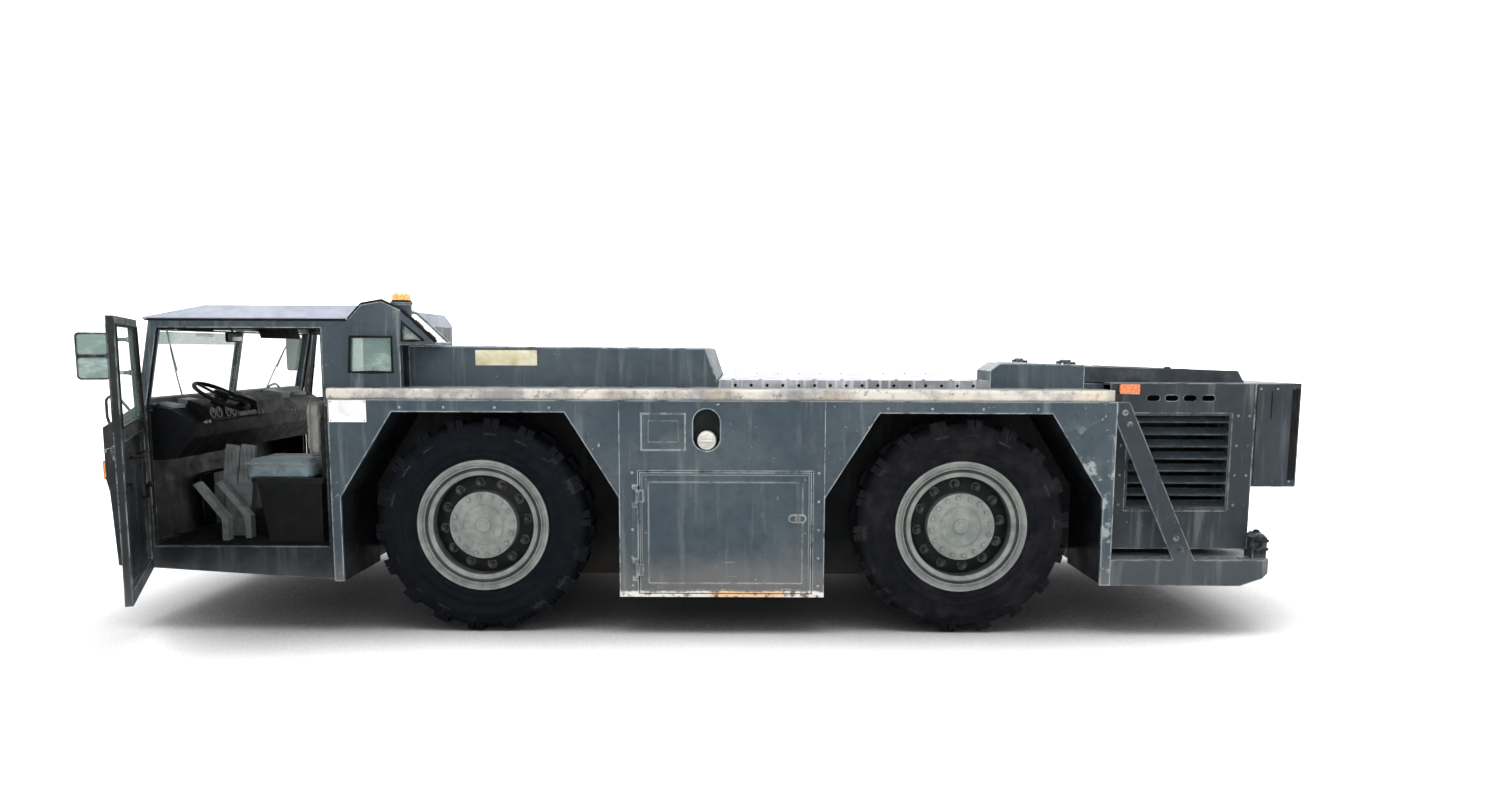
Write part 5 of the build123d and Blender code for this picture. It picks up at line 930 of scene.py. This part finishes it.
def cushion(name, low, high, crown, rest, material):
    """Stuffed pad: a slightly small block swollen as cloth, then crossed by sewn channels."""
    pad = Shape()
    units = (X, Y, Z)
    wide, tall = (units[index] for index in range(3) if index != crown)
    floor, ceiling = Vector(low)[crown], Vector(high)[crown]
    pad.prism(pad_outline(low, high, crown, 4), units[crown] * floor, wide, tall, units[crown] * (ceiling - floor))
    made = pad.piece(name, material, "seat_vinyl", smooth=0)
    bpy.context.view_layer.update()
    even = made.modifiers.new("even", "REMESH")
    even.mode = "VOXEL"
    even.voxel_size = 0.006
    bpy.context.view_layer.objects.active = made
    apply_modifier(made, "even")
    start = [vert.co.copy() for vert in made.data.vertices]
    cloth = made.modifiers.new("swell", "CLOTH")
    cloth.settings.use_pressure = True
    cloth.settings.uniform_pressure_force = 4.0
    cloth.settings.quality = 4
    cloth.settings.effector_weights.gravity = 0
    cloth.point_cache.frame_start = 1
    cloth.point_cache.frame_end = 20
    for number in range(1, 21):
        bpy.context.scene.frame_set(number)
    apply_modifier(made, "swell")
    bpy.context.scene.frame_set(1)
    for vert, before in zip(made.data.vertices, start):
        move = vert.co - before
        if move.length > SWELL_REACH:
            vert.co = before + move * (SWELL_REACH / move.length)
        along = (vert.co.y - (low[1] + high[1]) / 2) / (high[1] - low[1])
        top = (vert.co[crown] - low[crown]) / (high[crown] - low[crown])
        top = top if rest > 0 else 1 - top
        if top > 0.5:
            for line in (-0.26, 0.0, 0.26):
                groove = math.exp(-((along - line) / 0.016) ** 2)
                vert.co[crown] -= rest * 0.009 * groove * min(1.0, (top - 0.5) * 3)
        else:
            vert.co[crown] += rest * max(0.0, 0.10 - top) * 0.02
    made.modifiers.new("round", "SUBSURF").levels = 1
    apply_modifier(made, "round")
    made.data.shade_smooth()
    return made or made


def piping(name, low, high, crown, level):
    """Sewn cord round the rim of a pad."""
    points = pad_outline(low, high, crown, 6, 0.006)
    for point in points:
        point.insert(crown, level)
    cord = Shape()
    cord.loop(points, 0.0045)
    cord.piece(name, PAD, "seat_vinyl", smooth=60)


def seat(word, side):
    """Cushion and back of one seat with their piping."""
    middle = side * 0.700
    low, high = (-2.830, middle - 0.218, 0.908), (-2.400, middle + 0.218, 1.008)
    base = cushion(f"seat_cushion_{word}", low, high, 2, 1, SEAT)
    piping(f"seat_piping_{word}", low, high, 2, 0.992)
    low, high = (-2.426, middle - 0.208, 1.042), (-2.362, middle + 0.208, 1.380)
    back = cushion(f"seat_back_{word}", low, high, 0, -1, PAD)
    piping(f"back_piping_{word}", low, high, 0, -2.412)
    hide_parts("seat_cushions")
    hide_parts("seat_backs")


# Body, hoods and tail

# Planes a fifth of a millimetre inside the outer faces of the side bodies and of the rear bay.
SIDE_FACE = 1.2248
BAY_FACE = 1.0848
SEAM_POINTS = (-1.752, -0.86, 0.026)
PLATFORM_EDGE = (0.4655, 0.4685)
PLATFORM_TREAD = 0.4515
WALKWAY_TOP = 1.5218
DECK_TOP = 1.4728
TOW_BORES = ((3.387, 0.581), (-3.447, 0.600))


def hood_top(x):
    return 1.7239 - 0.00559 * (x + 1.758)


def cover_top(x):
    return 1.6080 - 0.0234 * (x - 2.33)


def rectangle(x, z, y):
    """Four corners of an upright rectangle at y, from pairs of x and of z."""
    return [(x[0], y, z[0]), (x[1], y, z[0]), (x[1], y, z[1]), (x[0], y, z[1])]


def side_marks():
    """Blank plate, cream patch and thin framed panel of the driver's side."""
    plate = Shape()
    plate.block((-2.172, -1.2272, 1.274), (-1.953, -SIDE_FACE, 1.403), 0.0008)
    plate.piece("blank_side_plate", PLATE, "white_plastic")
    screws = Shape()
    for x in (-2.162, -1.963):
        for z in (1.284, 1.393):
            screws.screw((x, -1.2272, z), -Y, (0.005, 0.004, 0.002, 0.003))
    screws.piece("plate_screws", STEEL, "dark_frame")
    patch = Shape()
    patch.block((-1.356, -1.0018, 1.605), (-0.985, -0.9992, 1.696), 0.0006)
    patch.piece("hood_side_patch", CREAM, "white_plastic")
    bars = Shape()
    bars.flat_loop(rectangle((-0.344, -0.075), (1.110, 1.335), -SIDE_FACE), Y * -0.0028, 0.011)
    bars.flat_loop(rectangle((-0.300, -0.119), (1.160, 1.290), -SIDE_FACE), Y * -0.0014, 0.005)
    bars.piece("side_panel_frame", BODY, "body_paint")


def filler_cap():
    """Grip bar, ring and ribs of the fuel cap."""
    cap = Shape()
    cap.block((0.016, -1.2035, 1.163), (0.076, -1.1945, 1.175), 0.003)
    cap.collar(0.045, 0.052, 0, 0.003, (0.046, -1.1958, 1.169), -Y, 40)
    for index in range(20):
        at = Vector((0.046, -1.172, 1.169)) + around(2 * math.pi * index / 20) * 0.0565
        cap.tube([at + Y * 0.012, at - Y * 0.014], 0.0018, 6)
    cap.piece("fuel_cap_grip", WHITE, "white_plastic")


def side_fittings(word, side):
    """Screws and welds along a side body, with the latch and rim of its locker door."""
    out = Y * side
    heads = Shape()
    for x in (-0.395, 0.712):
        for z in (0.300, 0.47, 0.64, 0.81, 0.98):
            heads.screw((x, side * SIDE_FACE, z), out, SCREW)
    for axle_x in (FRONT_AXLE, REAR_AXLE):
        for x in (-0.46, -0.20, 0.10, 0.42):
            heads.screw((axle_x + x, side * SIDE_FACE, 1.362), out, SCREW)
    heads.piece(f"side_screws_{word}", BODY, "body_paint")
    seam = Shape()
    for x in (-0.470, 0.745):
        seam.tube([(x, side * 1.2245, 0.262), (x, side * 1.2245, 1.398)], 0.0028, 6)
    seam.piece(f"panel_welds_{word}", BODY, "body_paint")
    door = f"locker_door_{word}"
    latch = Shape()
    latch.lathe([(0, 0), (0.019, 0), (0.019, 0.004), (0.013, 0.007), (0, 0.007)], (0.588, side * 1.234, 0.709),
                out, 24)
    latch.tube([(0.588, side * y, z) for y, z in ((1.239, 0.680), (1.244, 0.690), (1.244, 0.728),
                                                  (1.239, 0.738))], 0.005, 8)
    latch.piece(f"locker_latch_{word}", RAIL, "worn_edge_paint", door, 50)
    rim = Shape()
    rim.flat_loop(rectangle((-0.340, 0.657), (0.270, 0.970), side * 1.2228), out * 0.0022, 0.006)
    for x in (-0.315, 0.632):
        for z in (0.30, 0.62, 0.94):
            rim.screw((x, side * 1.2228, z), out, (0.006, 0.005, 0.003, 0.003))
    rim.piece(f"locker_rim_{word}", RAIL, "worn_edge_paint", door)


def lift_ring(shape, x, y, z):
    """Flush round lift, standing a little proud of a lid."""
    shape.collar(0.026, 0.040, -0.002, 0.003, (x, y, z), Z, 28)


def hood_parts():
    """Lid seams and lifts of the hoods, and the cover's edges."""
    seams = Shape()
    for x in (-1.735, -0.862, 0.012):
        seams.block((x - 0.010, -0.976, hood_top(x) - 0.002), (x + 0.010, 0.976, hood_top(x) + 0.0016), 0.0008)
    for side in (-1, 1):
        seams.tube([(x, side * 0.9935, hood_top(x) - 0.0065) for x in SEAM_POINTS], 0.004, 8)
        seams.tube([(0.036, side * 0.998, 1.708), (0.1115, side * 0.998, 1.480)], 0.004, 8)
        for x in (-1.30, -0.42):
            lift_ring(seams, x, side * 0.86, hood_top(x))
    seams.piece("front_hood_seams", BODY, "body_paint")
    rear = Shape()
    rear.tube([(1.816, -0.997, 1.6255), (2.05, -0.997, 1.6235), (2.320, -0.997, 1.6175)], 0.0045, 8)
    rear.tube([(1.7555, -0.998, 1.478), (1.7555, -0.998, 1.582), (1.814, -0.998, 1.6255)], 0.0045, 8)
    rear.tube([(1.760, -0.63, 1.585), (1.816, -0.63, 1.6275), (2.185, -0.63, 1.6205)], 0.004, 8)
    lift_ring(rear, 1.90, -0.80, 1.6263)
    rear.piece("rear_hood_seams", BODY, "body_paint")
    cover = Shape()
    cover.lathe([(0, 0), (0.020, 0), (0.020, 0.010), (0.012, 0.016), (0, 0.016)], (2.86, -0.90, 1.5950), Z, 16)
    cover.tube([(x, -0.956, cover_top(x) - 0.003) for x in (2.345, 2.80, 3.262)], 0.0042, 8)
    cover.tube([(3.266, -0.955, 1.582), (3.305, -0.955, 1.520)], 0.0042, 8)
    for x in (2.66, 2.98):
        cover.block((x - 0.006, -0.93, cover_top(x) - 0.004), (x + 0.006, 0.93, cover_top(x) + 0.003), 0.001)
    for y in (-0.45, 0.45):
        lift_ring(cover, 3.12, y, cover_top(3.12))
    cover.piece("cover_fittings", COVER, "black_plastic", "engine_cover", 40)


def tail_parts():
    """Bolts, strips and slits of the rear bay, and the platform's worn edges and treads."""
    bolts, strip, worn, treads = Shape(), Shape(), Shape(), Shape()
    foot, top = PLATFORM_EDGE
    for side in (-1, 1):
        out, face = Y * side, side * BAY_FACE
        for x, z in ((2.506, 1.345), (2.536, 1.275), (2.844, 0.600), (2.874, 0.530)):
            bolts.bolt((x, side * SIDE_FACE, z), out, 0.012)
        for x in (2.500, 2.536, 3.232, 3.300):
            for z in (0.78, 0.96, 1.14, 1.32):
                bolts.screw((x, face, z), out, (0.008, 0.0066, 0.0035, 0.004))
        for x in (3.36, 3.46, 3.56):
            for z in (0.925, 1.482):
                bolts.screw((x, face, z), out, SMALL_SCREW)
        for x, z, y, thick, soften in (((3.548, 3.592), (0.934, 1.484), 1.0862, 0.0012, 0.0006),
                                       ((3.424, 3.432), (1.300, 1.470), 1.0856, 0.0010, 0.0004),
                                       ((3.336, 3.342), (0.90, 1.506), 1.0856, 0.0010, 0.0004)):
            strip.block((x[0], side * y - thick, z[0]), (x[1], side * y + thick, z[1]), soften)
        for low, high in ((2.50, 2.830), (2.985, 3.315)):
            worn.block((low, side * 1.2165 - 0.0095, foot), (high, side * 1.2165 + 0.0095, top), 0.0008)
        for column in range(7):
            x = 2.66 + 0.105 * column
            for row in range(3):
                y = side * (1.137 + 0.009 * row)
                treads.tube([(x - 0.030, y, PLATFORM_TREAD), (x + 0.030, y, PLATFORM_TREAD)], 0.0018, 6)
    for y in (-0.095, 0.095):
        for z in (0.51, 0.652):
            bolts.bolt((3.3555, y, z), X, 0.014, 0.010)
    worn.block((3.408, -1.150, foot), (3.428, 1.150, top), 0.0008)
    bolts.piece("tail_bolts", TAIL, "dark_paint")
    strip.piece("box_strips", SOFT_BLACK, "dark_paint")
    worn.piece("platform_worn_edge", RAIL, "worn_edge_paint")
    treads.piece("platform_treads", STEEL, "dark_frame")


def coupling_parts():
    """Lumps of the bumper posts, rings of the tow bores and the two sockets beside the rear one."""
    lumps = Shape()
    for side in (-1, 1):
        y = side * 1.110
        for z in (0.522, 0.572):
            lumps.tube([(x, y + reach, z) for x, reach in ((3.395, -0.050), (3.422, -0.045), (3.422, 0.045),
                                                           (3.395, 0.050))], 0.011, 10)
        lumps.bolt((3.372, y, 0.6175), Z, 0.018, 0.014)
        for x in (3.352, 3.392):
            for z in (0.505, 0.580):
                lumps.bolt((x, side * 1.1648, z), Y * side, 0.012)
        lumps.collar(0.026, 0.040, -0.009, 0.009, (3.345, side * 1.176, 0.560), Y, 20)
    lumps.piece("bumper_lumps", UNDER, "dark_frame", smooth=45)
    rings = Shape()
    for x, z in TOW_BORES:
        for level in (z - 0.0325, z + 0.0625):
            rings.collar(0.0225, 0.034, 0, 0.0025, (x, 0, level), Z, 28)
    rings.piece("tow_bore_rings", STEEL, "dark_frame")
    sockets = Shape()
    for y in (0.30, 0.38):
        sockets.lathe([(0, 0), (0.022, 0), (0.022, 0.018), (0.015, 0.022), (0.015, 0.040), (0, 0.040)],
                      (3.329, y, 0.70), X, 16)
    sockets.piece("tail_sockets", DARK_STEEL, "dark_frame", smooth=50)


def lamp_rims():
    """Bars above and below the corner lamps, with the rings and domes of the head lamps."""
    lamps = Shape()
    for side in (-1, 1):
        rear_y = sorted((side * BAY_FACE, side * 1.1080))
        front_y = sorted((side * 1.052, side * 1.164))
        for z in (1.4475, 1.5070):
            lamps.block((2.5085, rear_y[0], z), (2.6275, rear_y[1], z + 0.003), 0.0008)
        for z in (0.9215, 1.0295):
            lamps.block((-3.5595, front_y[0], z), (-3.5395, front_y[1], z + 0.003), 0.0008)
        y = side * 0.850
        lamps.lathe([(0.080, 0), (0.0935, 0), (0.0935, 0.004), (0.080, 0.007)], (-3.5215, y, 0.680),
                    -X, 48, True)
        lamps.lathe([(0, 0.020), (0.050, 0.012), (0.070, 0)], (-3.492, y, 0.680), -X, 40)
    lamps.piece("lamp_rims", STEEL, "dark_frame", smooth=40)


def deck_parts():
    """Bolts along the walkway and round plugs in the deck."""
    bolts, plugs = Shape(), Shape()
    for index in range(10):
        for y in (-0.975, 0.975):
            bolts.bolt((0.20 + 0.165 * index, y, WALKWAY_TOP), Z, 0.010, 0.006)
    bolts.piece("walkway_bolts", TREAD, "walkway_metal")
    for x in (-1.90, 0.93, 2.20):
        for y in (-1.12, 1.12):
            plugs.lathe([(0, 0), (0.034, 0), (0.034, 0.003), (0.026, 0.005), (0, 0.005)],
                        (x, y, DECK_TOP), Z, 24)
    plugs.piece("deck_plugs", RAIL, "worn_edge_paint")


for build in (cab_trim, wipers, dash_parts, cab_inside, hand_wheel):
    build()
for build in (seat, cab_door_parts):
    for word, side in SIDES:
        build(word, side)
side_marks()
for word, side in SIDES:
    side_fittings(word, side)
for build in (filler_cap, hood_parts, tail_parts, coupling_parts, lamp_rims, deck_parts):
    build()


# Floor, light and camera

FLOOR_RADIUS = 22.0
CURL = 10.0
SHADE_REACH = 1.7
FILM_WIDTH = 36.0
FOCAL_SHARE = 1105.0 / 1488.0
TILT_DOWN = 7.41
ROLL = 0.2


def backdrop():
    """Round floor that curls up far away, so that no horizon shows."""
    shape = Shape()
    profile = [(0, 0), (14.0, 0), (FLOOR_RADIUS, 0)]
    for step in range(1, 13):
        angle = math.pi / 2 * step / 12
        profile.append((FLOOR_RADIUS + CURL * math.sin(angle), CURL - CURL * math.cos(angle)))
    profile.append((FLOOR_RADIUS + CURL, 30.0))
    shape.lathe(profile, (0, 0, 0), Z, 96)
    data = bpy.data.meshes.new("backdrop")
    shape.mesh.to_mesh(data)
    shape.mesh.free()
    data.shade_smooth()
    made = bpy.data.objects.new("backdrop", data)
    bpy.context.collection.objects.link(made)
    f = Finish("backdrop_paper")
    f.colour = f.mix(f.spots(0.3, 3.0, 0.5, 0.3, 0.7), (0.90, 0.90, 0.90, 1), (0.915, 0.915, 0.915, 1))
    f.coat(f.band(f.crevices(SHADE_REACH), 0.12, 0.76), 0.95, (0.03, 0.03, 0.035, 1))
    open_floor = f.math("SUBTRACT", 1.0, f.band(f.crevices(SHADE_REACH), 0.04, 0.30))
    glow = f.band(f.distance(f.axis("X"), f.axis("Y")), 2.0, 9.0, 0.16, 0.90)
    data.materials.append(f.done(Roughness=0.9, Specular_IOR_Level=0.1, Emission_Color=(1, 1, 1, 1),
                                 Emission_Strength=f.times(open_floor, glow)))


def area_light(name, place, target, size, power, colour=(1, 1, 1)):
    data = bpy.data.lights.new(name, "AREA")
    data.shape = "RECTANGLE"
    data.size, data.size_y = size
    data.energy = power
    data.color = colour
    made = bpy.data.objects.new(name, data)
    made.location = place
    made.rotation_euler = (Vector(target) - Vector(place)).to_track_quat("-Z", "Y").to_euler()
    bpy.context.collection.objects.link(made)


backdrop()
world = bpy.data.worlds.new("studio")
world.use_nodes = True
world.node_tree.nodes["Background"].inputs["Color"].default_value = (0.96, 0.98, 1.0, 1)
world.node_tree.nodes["Background"].inputs["Strength"].default_value = 0.27
bpy.context.scene.world = world
area_light("sky_panel", (0.0, -1.0, 8.5), (0, 0, 0), (11.0, 7.0), 1080)
area_light("front_panel", (-2.0, -9.5, 4.2), (0, 0, 0.9), (9.0, 4.0), 58, (0.97, 0.99, 1.0))
area_light("back_panel", (2.0, 9.5, 5.0), (0, 0, 0.9), (9.0, 4.0), 220)

camera = bpy.data.cameras.new("photo_view")
camera.sensor_width = FILM_WIDTH
camera.lens = FOCAL_SHARE * FILM_WIDTH
camera.shift_y = 0.063
camera.clip_end = 200.0
viewer = bpy.data.objects.new("photo_view", camera)
viewer.matrix_world = (
    Matrix.Translation((0.268, -7.72, 1.702))
    @ Matrix.Rotation(math.radians(90 - TILT_DOWN), 4, "X")
    @ Matrix.Rotation(math.radians(ROLL), 4, "Z")
)
bpy.context.collection.objects.link(viewer)
bpy.context.scene.camera = viewer
bpy.context.scene.view_settings.view_transform = "Standard"
